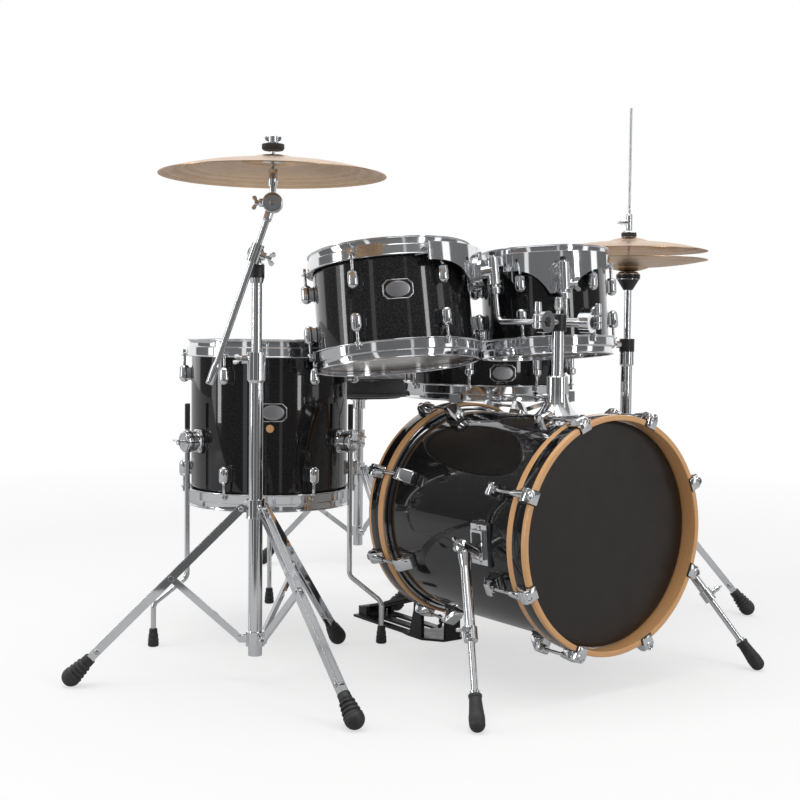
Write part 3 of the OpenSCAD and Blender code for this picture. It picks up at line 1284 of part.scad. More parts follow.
translate([kit_x, kit_y, 0]) {
    bass_shell();
    bass_hoops();
    bass_hoop_trim();
    bass_heads();
    bass_lugs();
    bass_claws();
    spur_brackets();
    tom_mount_base();
    spur_tube(-1);  // spur_left_tube
    spur_tube(1);  // spur_right_tube
    spur_rod(-1);  // spur_left_rod
    spur_rod(1);  // spur_right_rod
    tom_post();
    tom_rod(-1);  // big_tom_rod
    tom_rod(1);  // small_tom_rod
    tom_shell(-1, big_tom_depth);  // big_tom_shell
    tom_rims(-1, big_tom_depth);  // big_tom_rims
    tom_heads(-1, big_tom_depth);  // big_tom_heads
    tom_lug_sets(-1, big_tom_depth);  // big_tom_lugs
    tom_yoke(-1);  // big_tom_mount
    tom_shell(1, small_tom_depth);  // small_tom_shell
    tom_rims(1, small_tom_depth);  // small_tom_rims
    tom_heads(1, small_tom_depth);  // small_tom_heads
    tom_lug_sets(1, small_tom_depth);  // small_tom_lugs
    tom_yoke(1);  // small_tom_mount
    floor_tom_shell();
    floor_tom_rims();
    floor_tom_heads();
    floor_tom_lugs();
    floor_tom_leg(0);  // floor_tom_leg_1
    floor_tom_leg(1);  // floor_tom_leg_2
    floor_tom_leg(2);  // floor_tom_leg_3
    stand_base();
    stand_tube();
    boom_clamp();
    boom_arm();
    crash_cymbal();
    stand_collar();
    stand_leg(0);  // stand_leg_1
    stand_leg(1);  // stand_leg_2
    stand_leg(2);  // stand_leg_3
    stand_brace(0);  // stand_brace_1
    stand_brace(1);  // stand_brace_2
    stand_brace(2);  // stand_brace_3
    hihat_stand();
    hihat_bottom_cymbal();
    hihat_pull_rod();
    hihat_top_cymbal();
    hihat_footboard();
    snare_stand();
    snare_basket();
    snare_shell();
    snare_rims();
    snare_heads();
    snare_lugs_all();  // snare_lugs
    pedal_frame();
    pedal_footboard();
    pedal_beater();
    throne_base();
    throne_seat();
}
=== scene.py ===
"""Dresses the drum kit over its solid frame: visible shapes, finishes, studio and camera.

Lengths are written in millimetres, and turned into metres where a mesh is made.
"""

import json
import logging
import math
from dataclasses import dataclass
from enum import Enum
from typing import Any, Callable, Dict, Iterable, List, Optional, Sequence, Tuple

import bmesh
import bpy
from mathutils import Matrix, Vector


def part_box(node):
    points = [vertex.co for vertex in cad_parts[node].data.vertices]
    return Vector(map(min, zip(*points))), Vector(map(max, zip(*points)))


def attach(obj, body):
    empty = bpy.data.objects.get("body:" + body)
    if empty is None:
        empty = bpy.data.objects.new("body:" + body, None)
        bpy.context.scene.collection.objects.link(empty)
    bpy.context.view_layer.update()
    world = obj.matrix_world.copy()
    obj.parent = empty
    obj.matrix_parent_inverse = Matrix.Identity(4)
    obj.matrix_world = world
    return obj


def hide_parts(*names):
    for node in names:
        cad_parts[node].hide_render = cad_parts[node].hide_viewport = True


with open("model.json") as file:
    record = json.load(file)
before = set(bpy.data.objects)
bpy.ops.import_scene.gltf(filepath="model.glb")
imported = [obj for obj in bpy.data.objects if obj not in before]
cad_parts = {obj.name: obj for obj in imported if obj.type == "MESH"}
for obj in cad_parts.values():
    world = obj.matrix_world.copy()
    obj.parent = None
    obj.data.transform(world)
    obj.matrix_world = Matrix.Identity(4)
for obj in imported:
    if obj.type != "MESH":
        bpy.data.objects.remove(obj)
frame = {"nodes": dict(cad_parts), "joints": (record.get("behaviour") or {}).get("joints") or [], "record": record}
logging.basicConfig(level=logging.INFO, format="%(message)s")
log = logging.getLogger("drum_kit")
STOOD_FOR: List[str] = []

MM = 0.001
TINY = 1e-6
Point = Sequence[float]
Outline = List[Tuple[float, float]]


class Side(Enum):
    LEFT = -1
    RIGHT = 1


class Slot(Enum):
    """Material slots of the record that the pieces take their finish from."""

    LACQUER = "lacquer_black"
    WOOD = "hoop_wood"
    CHROME = "chrome"
    BRONZE = "bronze"
    RUBBER = "rubber_black"
    DARK_FILM = "film_dark"
    COATED_FILM = "film_coated"
    COVER = "seat_cover"


# ---------- Places and outlines ----------


def shift(x: float, y: float, z: float) -> Matrix:
    """Returns a plain move, in millimetres."""
    return Matrix.Translation((x, y, z))


def turn(degrees: float, axis: str = "Z") -> Matrix:
    """Returns a turn about one of the axes."""
    return Matrix.Rotation(math.radians(degrees), 4, axis)


def aim(at: Point, toward: Point) -> Matrix:
    """Makes a frame at a point, with its +Z along a direction.

    Args:
        at: The frame's origin.
        toward: The direction that +Z takes.

    Returns:
        The frame's matrix.
    """
    v = Vector(toward).normalized()
    lean = math.acos(max(-1.0, min(1.0, v.z)))
    spin = math.atan2(v.y, v.x)
    return Matrix.Translation(Vector(at)) @ Matrix.Rotation(spin, 4, "Z") @ Matrix.Rotation(lean, 4, "Y")


def middle(node: str) -> Vector:
    """Returns the middle of a solid's box, in millimetres."""
    low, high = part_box(node)
    return (low + high) / 2 / MM


def soften(points: Sequence[Point], radius: float, closed: bool = True, steps: int = 3) -> Outline:
    """Rounds the corners of an outline.

    Args:
        points: The outline's corners.
        radius: How far from a corner the round starts.
        closed: Whether the last corner joins the first.
        steps: Pieces in each round.

    Returns:
        The outline with more points.
    """
    made: Outline = []
    count = len(points)
    for i, point in enumerate(points):
        if not closed and i in (0, count - 1):
            made.append(tuple(point))
            continue
        tip = Vector(point)
        before, after = Vector(points[i - 1]) - tip, Vector(points[(i + 1) % count]) - tip
        if min(before.length, after.length) < TINY:
            continue
        if before.normalized().dot(after.normalized()) < -0.99:
            made.append(tuple(tip))
            continue
        cut = min(radius, before.length * 0.45, after.length * 0.45)
        start, end = tip + before.normalized() * cut, tip + after.normalized() * cut
        for k in range(steps + 1):
            t = k / steps
            made.append(tuple(start * (1 - t) ** 2 + tip * (2 * t * (1 - t)) + end * t * t))
    return made


def ring_of(radius: float, turns: int = 32, start: float = 0.0, sweep: float = 360.0) -> Outline:
    """Returns points on a circle, or on a part of it."""
    last = turns if sweep >= 360 else turns - 1
    angles = [math.radians(start + sweep * k / last) for k in range(turns)]
    return [(radius * math.cos(a), radius * math.sin(a)) for a in angles]


def rounded_path(points: Sequence[Point], radius: float, steps: int = 8) -> List[Vector]:
    """Rounds the inner corners of a path with arcs.

    Args:
        points: The path's corners, in space.
        radius: The bend radius.
        steps: Pieces in each bend.

    Returns:
        The path with arcs.
    """
    given = [Vector(p) for p in points]
    made = [given[0]]
    for i in range(1, len(given) - 1):
        u, w = (given[i - 1] - given[i]).normalized(), (given[i + 1] - given[i]).normalized()
        half = u.angle(w) / 2
        if half > math.pi / 2 - 0.01:
            continue
        heart = given[i] + (u + w).normalized() * (radius / math.sin(half))
        a, b = given[i] + u * (radius / math.tan(half)) - heart, given[i] + w * (radius / math.tan(half)) - heart
        a, b, far = a.normalized(), b.normalized(), a.length
        made += [heart + a.slerp(b, k / steps) * far for k in range(steps + 1)]
    return made + [given[-1]]


def mirrored(half: Outline, *middle_points: Point) -> Outline:
    """Joins the left half of an outline, its points on the middle line and its right half."""
    return [(-x, y) for x, y in half] + [tuple(p) for p in middle_points] + list(reversed(half))


def oblong(half_x: float, half_y: float, radius: float) -> Outline:
    """Returns a rectangle round the origin with rounded corners."""
    return soften([(-half_x, -half_y), (half_x, -half_y), (half_x, half_y), (-half_x, half_y)], radius)


class Shape:
    """Gathers the surfaces of one piece, in millimetres."""

    def __init__(self) -> None:
        """Starts an empty piece."""
        self.bm = bmesh.new()
        self.uv = self.bm.loops.layers.uv.new("UVMap")

    def _grid(self, rings: List[List[Any]], wrap: bool, around: float, steps: List[float]) -> None:
        """Joins rings of points with faces.

        Args:
            rings: Rings of vertices; a ring of one vertex is a tip.
            wrap: Whether the last ring joins the first.
            around: Length round the piece, for the surface coordinates.
            steps: Distance of each ring along the surface.
        """
        count = len(rings)
        for i in range(count if wrap else count - 1):
            a, b = rings[i], rings[(i + 1) % count]
            sides = max(len(a), len(b))
            if sides == 1:
                continue
            va, vb = steps[i] * MM, steps[(i + 1) % count if i + 1 < count else 0] * MM
            for k in range(sides):
                n = (k + 1) % sides
                ua, ub = around * k / sides * MM, around * (k + 1) / sides * MM
                if len(a) == 1:
                    corners, marks = [a[0], b[n], b[k]], [(ua, va), (ub, vb), (ua, vb)]
                elif len(b) == 1:
                    corners, marks = [a[k], a[n], b[0]], [(ua, va), (ub, va), (ua, vb)]
                else:
                    corners, marks = [a[k], a[n], b[n], b[k]], [(ua, va), (ub, va), (ub, vb), (ua, vb)]
                face = self.bm.faces.new(corners)
                for loop, mark in zip(face.loops, marks):
                    loop[self.uv].uv = mark

    def lathe(self, profile: Sequence[Point], at: Matrix = Matrix(), turns: int = 48, closed: bool = False) -> "Shape":
        """Turns a profile of radius and height round the frame's Z axis.

        Args:
            profile: Pairs of radius and height.
            at: The frame.
            turns: Facets round the axis.
            closed: Whether the profile's end joins its start.

        Returns:
            The shape itself.
        """
        rings, steps, reach = [], [], 0.0
        for i, (r, z) in enumerate(profile):
            if i:
                reach += math.dist(profile[i - 1], profile[i])
            steps.append(reach)
            spots = [(0.0, 0.0)] if r < 1e-4 else [(r * x, r * y) for x, y in ring_of(1.0, turns)]
            rings.append([self.bm.verts.new(at @ Vector((x, y, z))) for x, y in spots])
        self._grid(rings, closed, 2 * math.pi * max(p[0] for p in profile), steps)
        return self

    def rod(self, a: Point, b: Point, d: float, chamfer: float = 0.5, turns: int = 28) -> "Shape":
        """Adds a round bar with eased ends between two points."""
        long = (Vector(b) - Vector(a)).length
        c = min(chamfer, d / 4, long / 4)
        half = [(0, 0), (d / 2 - c, 0), (d / 2 - c * 0.3, c * 0.3), (d / 2, c)]
        return self.lathe(half + [(x, long - z) for x, z in reversed(half)], aim(a, Vector(b) - Vector(a)), turns)

    def ball(self, at: Point, d: float, turns: int = 32) -> "Shape":
        """Adds a ball."""
        n = turns // 2
        profile = [(d / 2 * math.sin(math.pi * k / n), -d / 2 * math.cos(math.pi * k / n)) for k in range(n + 1)]
        profile[0], profile[-1] = (0, -d / 2), (0, d / 2)
        return self.lathe(profile, shift(*at), turns)

    def sweep(self, path: Sequence[Point], d: float, turns: int = 16, caps: bool = True) -> "Shape":
        """Runs a round section along a path.

        Args:
            path: The points of the path.
            d: The section's diameter.
            turns: Facets round the section.
            caps: Whether the ends are closed.

        Returns:
            The shape itself.
        """
        line = [Vector(p) for p in path]
        tangents = [(line[min(i + 1, len(line) - 1)] - line[max(i - 1, 0)]).normalized() for i in range(len(line))]
        side = tangents[0].orthogonal().normalized()
        rings, steps, reach = [], [], 0.0
        for i, (p, t) in enumerate(zip(line, tangents)):
            side = (side - t * side.dot(t)).normalized()
            other = t.cross(side)
            reach += (line[i] - line[i - 1]).length if i else 0.0
            steps.append(reach)
            rings.append([self.bm.verts.new(p + (side * x + other * y)) for x, y in ring_of(d / 2, turns)])
        if caps:
            rings = [[self.bm.verts.new(line[0])]] + rings + [[self.bm.verts.new(line[-1])]]
            steps = [-d / 2] + steps + [reach + d / 2]
        self._grid(rings, False, math.pi * d, steps)
        return self

    def coil(self, at: Matrix, d: float, wire: float, height: float, coils: float) -> "Shape":
        """Adds a coil spring that stands on the frame's origin."""
        n = int(coils * 20)
        turned = [(2 * math.pi * coils * k / n, height * k / n) for k in range(n + 1)]
        return self.sweep([at @ Vector((d / 2 * math.cos(a), d / 2 * math.sin(a), z)) for a, z in turned], wire, 8)

    def plate(self, outline: Sequence[Point], thick: float, at: Matrix = Matrix(), ease: float = 0.5) -> "Shape":
        """Thickens a flat outline along +Z and eases its edges.

        Args:
            outline: Corners in the XY plane.
            thick: The thickness.
            at: The frame.
            ease: Size of the eased edge.

        Returns:
            The shape itself.
        """
        pts = [Vector((p[0], p[1])) for p in outline]
        if sum(a.x * b.y - b.x * a.y for a, b in zip(pts, pts[1:] + pts[:1])) < 0:
            pts.reverse()
        e = min(ease, thick * 0.45)
        inner = []
        for i, p in enumerate(pts):
            u, w = p - pts[i - 1], pts[(i + 1) % len(pts)] - p
            u, w = ((a if a.length > 1e-9 else b).normalized() for a, b in ((u, w), (w, u)))
            n = Vector((-u.y - w.y, u.x + w.x))
            n = n.normalized() if n.length > 1e-6 else Vector((-u.y, u.x))
            inner.append(p + n * e * min(1.6, 1 / max(0.3, n.dot(Vector((-u.y, u.x))))))
        between = [p.lerp(q, 0.3) for p, q in zip(pts, inner)]
        rows = [(inner, 0), (between, e * 0.3), (pts, e), (pts, thick - e), (between, thick - e * 0.3), (inner, thick)]
        rings = [[self.bm.verts.new(at @ Vector((p.x, p.y, z))) for p in row] for row, z in rows]
        around = sum((b - a).length for a, b in zip(pts, pts[1:] + pts[:1]))
        self._grid(rings, False, around, [z for _, z in rows])
        for ring, row in ((list(reversed(rings[0])), list(reversed(inner))), (rings[-1], inner)):
            face = self.bm.faces.new(ring)
            for loop, p in zip(face.loops, row):
                loop[self.uv].uv = (p.x * MM, p.y * MM)
        return self

    def block(self, low: Point, size: Point, at: Matrix = Matrix(), round_off: float = 1.5,
              ease: float = 0.6) -> "Shape":
        """Adds a block with rounded uprights and eased rims, from its lowest corner."""
        x, y, _ = low
        corners = [(x, y), (x + size[0], y), (x + size[0], y + size[1]), (x, y + size[1])]
        return self.plate(soften(corners, round_off), size[2], at @ shift(0, 0, low[2]), ease)

    def wing_bolt(self, at: Matrix, length: float) -> "Shape":
        """Adds a screw with a winged head, from the frame's origin along +Z.

        Args:
            at: The frame.
            length: Length of the screw under its head.

        Returns:
            The shape itself.
        """
        head = [(4.4, 0), (5, 0.8), (5, 5.6), (3.6, 7), (0, 7)]
        self.lathe([(3, 0), (3, length)] + [(x, length + z) for x, z in head], at, 24)
        half = [(3, 2.2), (9, 3.4), (12.6, 4.6), (14.3, 7.2), (13.8, 10.4), (11.2, 12.4), (8, 11.6), (5, 8.6)]
        wing = mirrored(half, (0, 6.8))
        flat = at @ shift(0, 0, length) @ turn(90, "X") @ shift(0, 0, -1.7)
        return self.plate(soften(wing, 2.0, steps=2), 3.4, flat, 1.1)

    def stamp(self, other: "Shape", places: Iterable[Matrix]) -> "Shape":
        """Copies another shape to each of the places, mirrored ones too.

        Args:
            other: The shape to copy.
            places: Frames of the copies.

        Returns:
            The shape itself.
        """
        mesh = bpy.data.meshes.new("stamp")
        other.bm.to_mesh(mesh)
        for place in places:
            verts, faces = len(self.bm.verts), len(self.bm.faces)
            self.bm.from_mesh(mesh)
            self.bm.verts.ensure_lookup_table()
            self.bm.faces.ensure_lookup_table()
            bmesh.ops.transform(self.bm, matrix=place, verts=self.bm.verts[verts:])
            if place.determinant() < 0:
                bmesh.ops.reverse_faces(self.bm, faces=self.bm.faces[faces:])
        bpy.data.meshes.remove(mesh)
        return self

    def piece(self, name: str, body: str, finish: "Finish", replaces: Sequence[str] = (),
              origin: Optional[Point] = None, crease: float = 32.0) -> bpy.types.Object:
        """Makes the object, gives it its finish and puts it on its body.

        Args:
            name: Name of the piece.
            body: Body that it moves with.
            finish: Finish of its whole surface.
            replaces: Solids of the frame that it stands for.
            origin: Point that the finish's pattern is centred on, in millimetres.
            crease: Angle above which an edge stays sharp.

        Returns:
            The object.
        """
        heart = Vector(origin) if origin is not None else Vector()
        bmesh.ops.recalc_face_normals(self.bm, faces=self.bm.faces[:])
        bmesh.ops.transform(self.bm, matrix=Matrix.Scale(MM, 4) @ Matrix.Translation(-heart), verts=self.bm.verts[:])
        mesh = bpy.data.meshes.new(name)
        self.bm.to_mesh(mesh)
        self.bm.free()
        for face in mesh.polygons:
            face.use_smooth = True
        mesh.set_sharp_from_angle(angle=math.radians(crease))
        mesh.materials.append(finish.material())
        made = bpy.data.objects.new(name, mesh)
        made.location = heart * MM
        bpy.context.scene.collection.objects.link(made)
        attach(made, body)
        if replaces:
            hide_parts(*replaces)
            STOOD_FOR.extend(replaces)
        log.info("%s: %d faces, on %s", name, len(mesh.polygons), body)
        return made


# ---------- Shader tools ----------

Tree = bpy.types.NodeTree
Node = bpy.types.Node
Socket = bpy.types.NodeSocket
Colour = Tuple[float, float, float]
WHITE: Colour = (1.0, 1.0, 1.0)


def put(tree: Tree, kind: str, sockets: Optional[Dict[Any, Any]] = None, **settings: Any) -> Node:
    """Adds a shader node and fills its sockets.

    Args:
        tree: The node tree.
        kind: The node's type, after the words that all of them start with.
        sockets: Values, or the outputs to link, by the name or number of the input.
        **settings: The node's own settings.

    Returns:
        The node.
    """
    node = tree.nodes.new(f"ShaderNode{kind}")
    for key, value in settings.items():
        setattr(node, key, value)
    for key, value in (sockets or {}).items():
        connect(tree, value, node.inputs[key])
    return node


def connect(tree: Tree, value: Any, socket: Socket) -> None:
    """Links an output to a socket, or sets the socket's own value."""
    if isinstance(value, Socket):
        tree.links.new(value, socket)
    else:
        socket.default_value = value


def mix_colour(tree: Tree, mask: Any, a: Any, b: Any) -> Socket:
    """Mixes two colours by a mask and returns the result's socket."""
    a, b = (c if isinstance(c, Socket) else (*c, 1) for c in (a, b))
    return put(tree, "Mix", {0: mask, 6: a, 7: b}, data_type="RGBA").outputs[2]


def span(tree: Tree, value: Any, low: Any, high: Any, to_low: Any = 0.0, to_high: Any = 1.0) -> Socket:
    """Maps a span of values onto another and returns the result's socket."""
    return put(tree, "MapRange", {0: value, 1: low, 2: high, 3: to_low, 4: to_high}).outputs[0]


def maths(tree: Tree, operation: str, a: Any, b: Any = 0.0) -> Socket:
    """Works out one sum and returns the result's socket."""
    return put(tree, "Math", {0: a, 1: b}, operation=operation).outputs[0]


def times(tree: Tree, a: Any, b: Any) -> Socket:
    """Returns the product of two values."""
    return maths(tree, "MULTIPLY", a, b)


def plus(tree: Tree, a: Any, b: Any) -> Socket:
    """Returns the sum of two values."""
    return maths(tree, "ADD", a, b)


def here(tree: Tree) -> Socket:
    """Returns the place on the piece, in the piece's own frame."""
    return put(tree, "TexCoord").outputs["Object"]


def noise(tree: Tree, where: Socket, scale: float, detail: float, **more: float) -> Socket:
    """Returns the value of cloudy noise; more sets its other sockets."""
    return put(tree, "TexNoise", {"Vector": where, "Scale": scale, "Detail": detail, **more}).outputs[0]


def eased(tree: Tree, radius: float) -> Socket:
    """Returns the normal of edges that are eased by a radius, in millimetres."""
    return put(tree, "Bevel", {"Radius": radius * MM}, samples=4).outputs[0]


def bump(tree: Tree, height: Any, strength: float, depth: float, normal: Optional[Socket] = None) -> Socket:
    """Returns the normal of a bumped surface; depth is in metres."""
    sockets = {"Strength": strength, "Distance": depth, "Height": height}
    return put(tree, "Bump", {**sockets, "Normal": normal} if normal is not None else sockets).outputs[0]


class Effect:
    """A shader node group that several finishes share; each is built once."""

    name = ""
    inputs: Dict[str, float] = {}

    def group(self) -> Tree:
        """Returns the node group, made if it isn't there yet."""
        found = bpy.data.node_groups.get(self.name)
        if found:
            return found
        tree = bpy.data.node_groups.new(self.name, "ShaderNodeTree")
        for name, value in self.inputs.items():
            tree.interface.new_socket(name, in_out="INPUT", socket_type="NodeSocketFloat").default_value = value
        made = self.draw(tree, tree.nodes.new("NodeGroupInput").outputs)
        for name in made:
            tree.interface.new_socket(name, in_out="OUTPUT", socket_type="NodeSocketFloat")
        out = tree.nodes.new("NodeGroupOutput")
        for name, socket in made.items():
            tree.links.new(socket, out.inputs[name])
        return tree

    def draw(self, tree: Tree, given: Any) -> Dict[str, Socket]:
        """Fills the group with its nodes.

        Args:
            tree: The group's tree.
            given: The group's inputs, by name.

        Returns:
            What the group puts out, by name.
        """
        raise NotImplementedError

    def use(self, tree: Tree, **values: float) -> Any:
        """Places the group in a material with its own values and returns its outputs."""
        node = put(tree, "Group", node_tree=self.group())
        for key, value in values.items():
            node.inputs[key].default_value = value
        return node.outputs


class Handling(Effect):
    """Faint smears and fine scratches that a polished surface gets from hands and cloths."""

    name = "Handling marks"
    inputs = {"Size": 12.0, "Low": 0.05, "High": 0.15}

    def draw(self, tree: Tree, given: Any) -> Dict[str, Socket]:
        """Mixes a broad smear with fine scratches.

        Args:
            tree: Node tree of the group.
            given: The group's inputs, by name.

        Returns:
            The group's outputs, by name.
        """
        where = here(tree)
        smear = noise(tree, where, given["Size"], 5.0, Roughness=0.6)
        fine = noise(tree, where, 900.0, 2.0)
        broad, thin = span(tree, smear, 0.38, 0.68), span(tree, fine, 0.45, 0.7)
        mask = plus(tree, times(tree, broad, 0.8), times(tree, thin, 0.2))
        return {"Roughness": span(tree, mask, 0.0, 1.0, given["Low"], given["High"]), "Height": smear}


class Pebble(Effect):
    """Small rounded grain, as on coated film, moulded rubber and vinyl."""

    name = "Pebble grain"
    inputs = {"Size": 900.0}

    def draw(self, tree: Tree, given: Any) -> Dict[str, Socket]:
        """Rounds the cells of a cell pattern and breaks them with noise.

        Args:
            tree: Node tree of the group.
            given: The group's inputs, by name.

        Returns:
            The group's outputs, by name.
        """
        where = here(tree)
        cells = put(tree, "TexVoronoi", {"Vector": where, "Scale": given["Size"]}, feature="SMOOTH_F1")
        patch = noise(tree, where, 30.0, 4.0)
        rise = maths(tree, "SUBTRACT", 1.0, cells.outputs["Distance"])
        height = times(tree, rise, span(tree, patch, 0.2, 0.8, 0.6, 1.0))
        return {"Height": height, "Mask": span(tree, patch, 0.35, 0.7)}


class LatheRings(Effect):
    """Fine grooves round a turned surface, by the distance from the piece's own axis."""

    name = "Lathe rings"
    inputs = {"Pitch": 900.0}

    def draw(self, tree: Tree, given: Any) -> Dict[str, Socket]:
        """Reads one line of noise along the radius.

        Args:
            tree: Node tree of the group.
            given: The group's inputs, by name.

        Returns:
            The group's outputs, by name.
        """
        parts = put(tree, "SeparateXYZ", {0: here(tree)}).outputs
        flat = put(tree, "CombineXYZ", {0: parts[0], 1: parts[1]}).outputs[0]
        far = put(tree, "VectorMath", {0: flat}, operation="LENGTH").outputs["Value"]
        fine = put(tree, "TexNoise", {"W": far, "Scale": given["Pitch"], "Detail": 3.0}, noise_dimensions="1D")
        broad = put(tree, "TexNoise", {"W": far, "Scale": 90.0, "Detail": 4.0, "Roughness": 0.7}, noise_dimensions="1D")
        return {"Height": fine.outputs[0], "Band": span(tree, broad.outputs[0], 0.3, 0.7)}


class WoodGrain(Effect):
    """Long grain that runs with the surface's own length, with darker growth lines and pores."""

    name = "Wood grain"
    inputs = {"Stretch": 14.0}

    def draw(self, tree: Tree, given: Any) -> Dict[str, Socket]:
        """Squeezes noise along the grain.

        Args:
            tree: Node tree of the group.
            given: The group's inputs, by name.

        Returns:
            The group's outputs, by name.
        """
        parts = put(tree, "SeparateXYZ", {0: put(tree, "UVMap").outputs[0]}).outputs

        def squeezed(along: Any, across: float) -> Socket:
            """Returns the surface coordinates, stretched both ways."""
            sides = {0: times(tree, parts[0], along), 1: times(tree, parts[1], across)}
            return put(tree, "CombineXYZ", sides).outputs[0]

        figure = noise(tree, squeezed(given["Stretch"], 300.0), 1.0, 6.0, Roughness=0.62, Distortion=0.6)
        pores = noise(tree, squeezed(90.0, 2600.0), 1.0, 2.0)
        return {"Figure": span(tree, figure, 0.3, 0.72), "Pores": span(tree, pores, 0.55, 0.75)}


class Settled(Effect):
    """A little dust that settles on what faces up."""

    name = "Settled dust"
    inputs = {"Amount": 0.1}

    def draw(self, tree: Tree, given: Any) -> Dict[str, Socket]:
        """Masks the upward faces with broken noise."""
        up = put(tree, "SeparateXYZ", {0: put(tree, "NewGeometry").outputs["Normal"]}).outputs[2]
        cloud = noise(tree, here(tree), 60.0, 6.0, Roughness=0.7)
        mask = times(tree, span(tree, up, 0.2, 1.0), span(tree, cloud, 0.35, 0.75))
        return {"Mask": times(tree, mask, given["Amount"])}


# ---------- Finishes ----------


def scaled(colour: Colour, share: float, lift: float = 0.0) -> Colour:
    """Returns a colour made brighter or darker."""
    return tuple(c * share + lift for c in colour)


@dataclass(frozen=True)
class Finish:
    """Base of every finish: a named material that is built once, and the dust that lies on it."""

    name: str
    slot: Optional[Slot] = None
    dust: Colour = (0.2, 0.2, 0.2)
    dust_share: float = 0.12

    def material(self) -> bpy.types.Material:
        """Returns the material, made if it isn't there yet."""
        found = bpy.data.materials.get(self.name)
        if found:
            return found
        made = bpy.data.materials.new(self.name)
        made.use_nodes = True
        tree = made.node_tree
        tree.nodes.clear()
        shader = put(tree, "BsdfPrincipled")
        put(tree, "OutputMaterial", {0: shader.outputs[0]})
        for key, value in self.shade(tree).items():
            whole = (*value, 1.0) if isinstance(value, tuple) else value
            connect(tree, whole, shader.inputs[key.replace("_", " ")])
        return made

    def shade(self, tree: Tree) -> Dict[str, Any]:
        """Returns the shader's values and sockets by name; an underscore stands for a space."""
        raise NotImplementedError

    def dusted(self, tree: Tree, base: Any) -> Socket:
        """Lays dust over a colour, on what faces up, and returns the result's socket."""
        return mix_colour(tree, Settled().use(tree, Amount=self.dust_share)["Mask"], base, self.dust)


@dataclass(frozen=True)
class Lacquer(Finish):
    """Gloss lacquer with fine metal flake in it."""

    colour: Colour = (0.006, 0.006, 0.007)
    flake: Colour = (0.10, 0.10, 0.105)
    flakes: float = 0.5
    dust: Colour = (0.3, 0.29, 0.28)
    dust_share: float = 0.05

    def shade(self, tree: Tree) -> Dict[str, Any]:
        """Scatters flake under a clear coat.

        Args:
            tree: Node tree of the material.

        Returns:
            The shader's inputs, by name.
        """
        where = here(tree)
        cells = put(tree, "TexVoronoi", {"Vector": where, "Scale": 1100.0}).outputs["Color"]
        bright = put(tree, "SeparateColor", {0: cells}).outputs[0]
        base = mix_colour(tree, times(tree, span(tree, bright, 0.55, 1.0), self.flakes), self.colour, self.flake)
        marks = Handling().use(tree, Size=5.0, Low=0.10, High=0.17)
        return dict(Base_Color=self.dusted(tree, base), Roughness=marks["Roughness"],
                    Coat_Weight=1.0, Coat_Roughness=0.02, Specular_IOR_Level=0.12,
                    Normal=bump(tree, noise(tree, where, 45.0, 1.0), 0.05, 0.001))


@dataclass(frozen=True)
class Coat(Finish):
    """Hard black coat on castings, with a fine texture and eased edges."""

    colour: Colour = (0.012, 0.012, 0.013)
    dust: Colour = (0.2, 0.2, 0.19)
    dust_share: float = 0.14
    edge: float = 0.6

    def shade(self, tree: Tree) -> Dict[str, Any]:
        """Sprays a fine texture and rubs it a little."""
        pebble = Pebble().use(tree, Size=1900.0)
        return dict(Base_Color=self.dusted(tree, self.colour),
                    Roughness=span(tree, pebble["Mask"], 0, 1, 0.28, 0.44),
                    Normal=bump(tree, pebble["Height"], 0.16, 0.0002, eased(tree, self.edge)))


@dataclass(frozen=True)
class Chrome(Finish):
    """Polished plate; eased edges catch the light where the solid has none."""

    colour: Colour = (0.80, 0.81, 0.83)
    low: float = 0.04
    high: float = 0.14
    edge: float = 0.0

    def shade(self, tree: Tree) -> Dict[str, Any]:
        """Lays smears and scratches over the plate."""
        marks = Handling().use(tree, Size=14.0, Low=self.low, High=self.high)
        tint = mix_colour(tree, span(tree, marks["Height"], 0.3, 0.7), self.colour, scaled(self.colour, 0.93))
        normal = bump(tree, marks["Height"], 0.008, 0.001, eased(tree, self.edge) if self.edge else None)
        return dict(Base_Color=tint, Metallic=1.0, Roughness=marks["Roughness"], Normal=normal)


@dataclass(frozen=True)
class Bronze(Finish):
    """Lathed bronze with hammer marks and a dull film."""

    colour: Colour = (0.76, 0.52, 0.335)
    dull: Colour = (0.54, 0.35, 0.205)

    def shade(self, tree: Tree) -> Dict[str, Any]:
        """Cuts grooves round the axis and dents them with a hammer.

        Args:
            tree: Node tree of the material.

        Returns:
            The shader's inputs, by name.
        """
        rings = LatheRings().use(tree, Pitch=1500.0)
        where = here(tree)
        dents = put(tree, "TexVoronoi", {"Vector": where, "Scale": 55.0}, feature="SMOOTH_F1").outputs["Distance"]
        cloud = noise(tree, where, 14.0, 5.0)
        mask = plus(tree, times(tree, rings["Band"], 0.6), times(tree, span(tree, cloud, 0.35, 0.7), 0.4))
        height = plus(tree, times(tree, rings["Height"], 0.35), times(tree, dents, 0.5))
        return dict(Base_Color=mix_colour(tree, mask, self.colour, self.dull), Metallic=1.0,
                    Roughness=span(tree, mask, 0.0, 1.0, 0.24, 0.36), Anisotropic=0.5,
                    Normal=bump(tree, height, 0.35, 0.0006))


@dataclass(frozen=True)
class Timber(Finish):
    """Clear-lacquered wood with its grain along the piece."""

    light: Colour = (0.95, 0.55, 0.255)
    dark: Colour = (0.80, 0.40, 0.155)
    pore: Colour = (0.25, 0.11, 0.035)

    def shade(self, tree: Tree) -> Dict[str, Any]:
        """Lays the grain under a clear coat.

        Args:
            tree: Node tree of the material.

        Returns:
            The shader's inputs, by name.
        """
        grain = WoodGrain().use(tree, Stretch=9.0)
        base = mix_colour(tree, grain["Figure"], self.light, self.dark)
        return dict(Base_Color=mix_colour(tree, times(tree, grain["Pores"], 0.35), base, self.pore),
                    Roughness=0.38, Coat_Weight=0.55, Coat_Roughness=0.12,
                    Normal=bump(tree, grain["Figure"], 0.08, 0.0004))


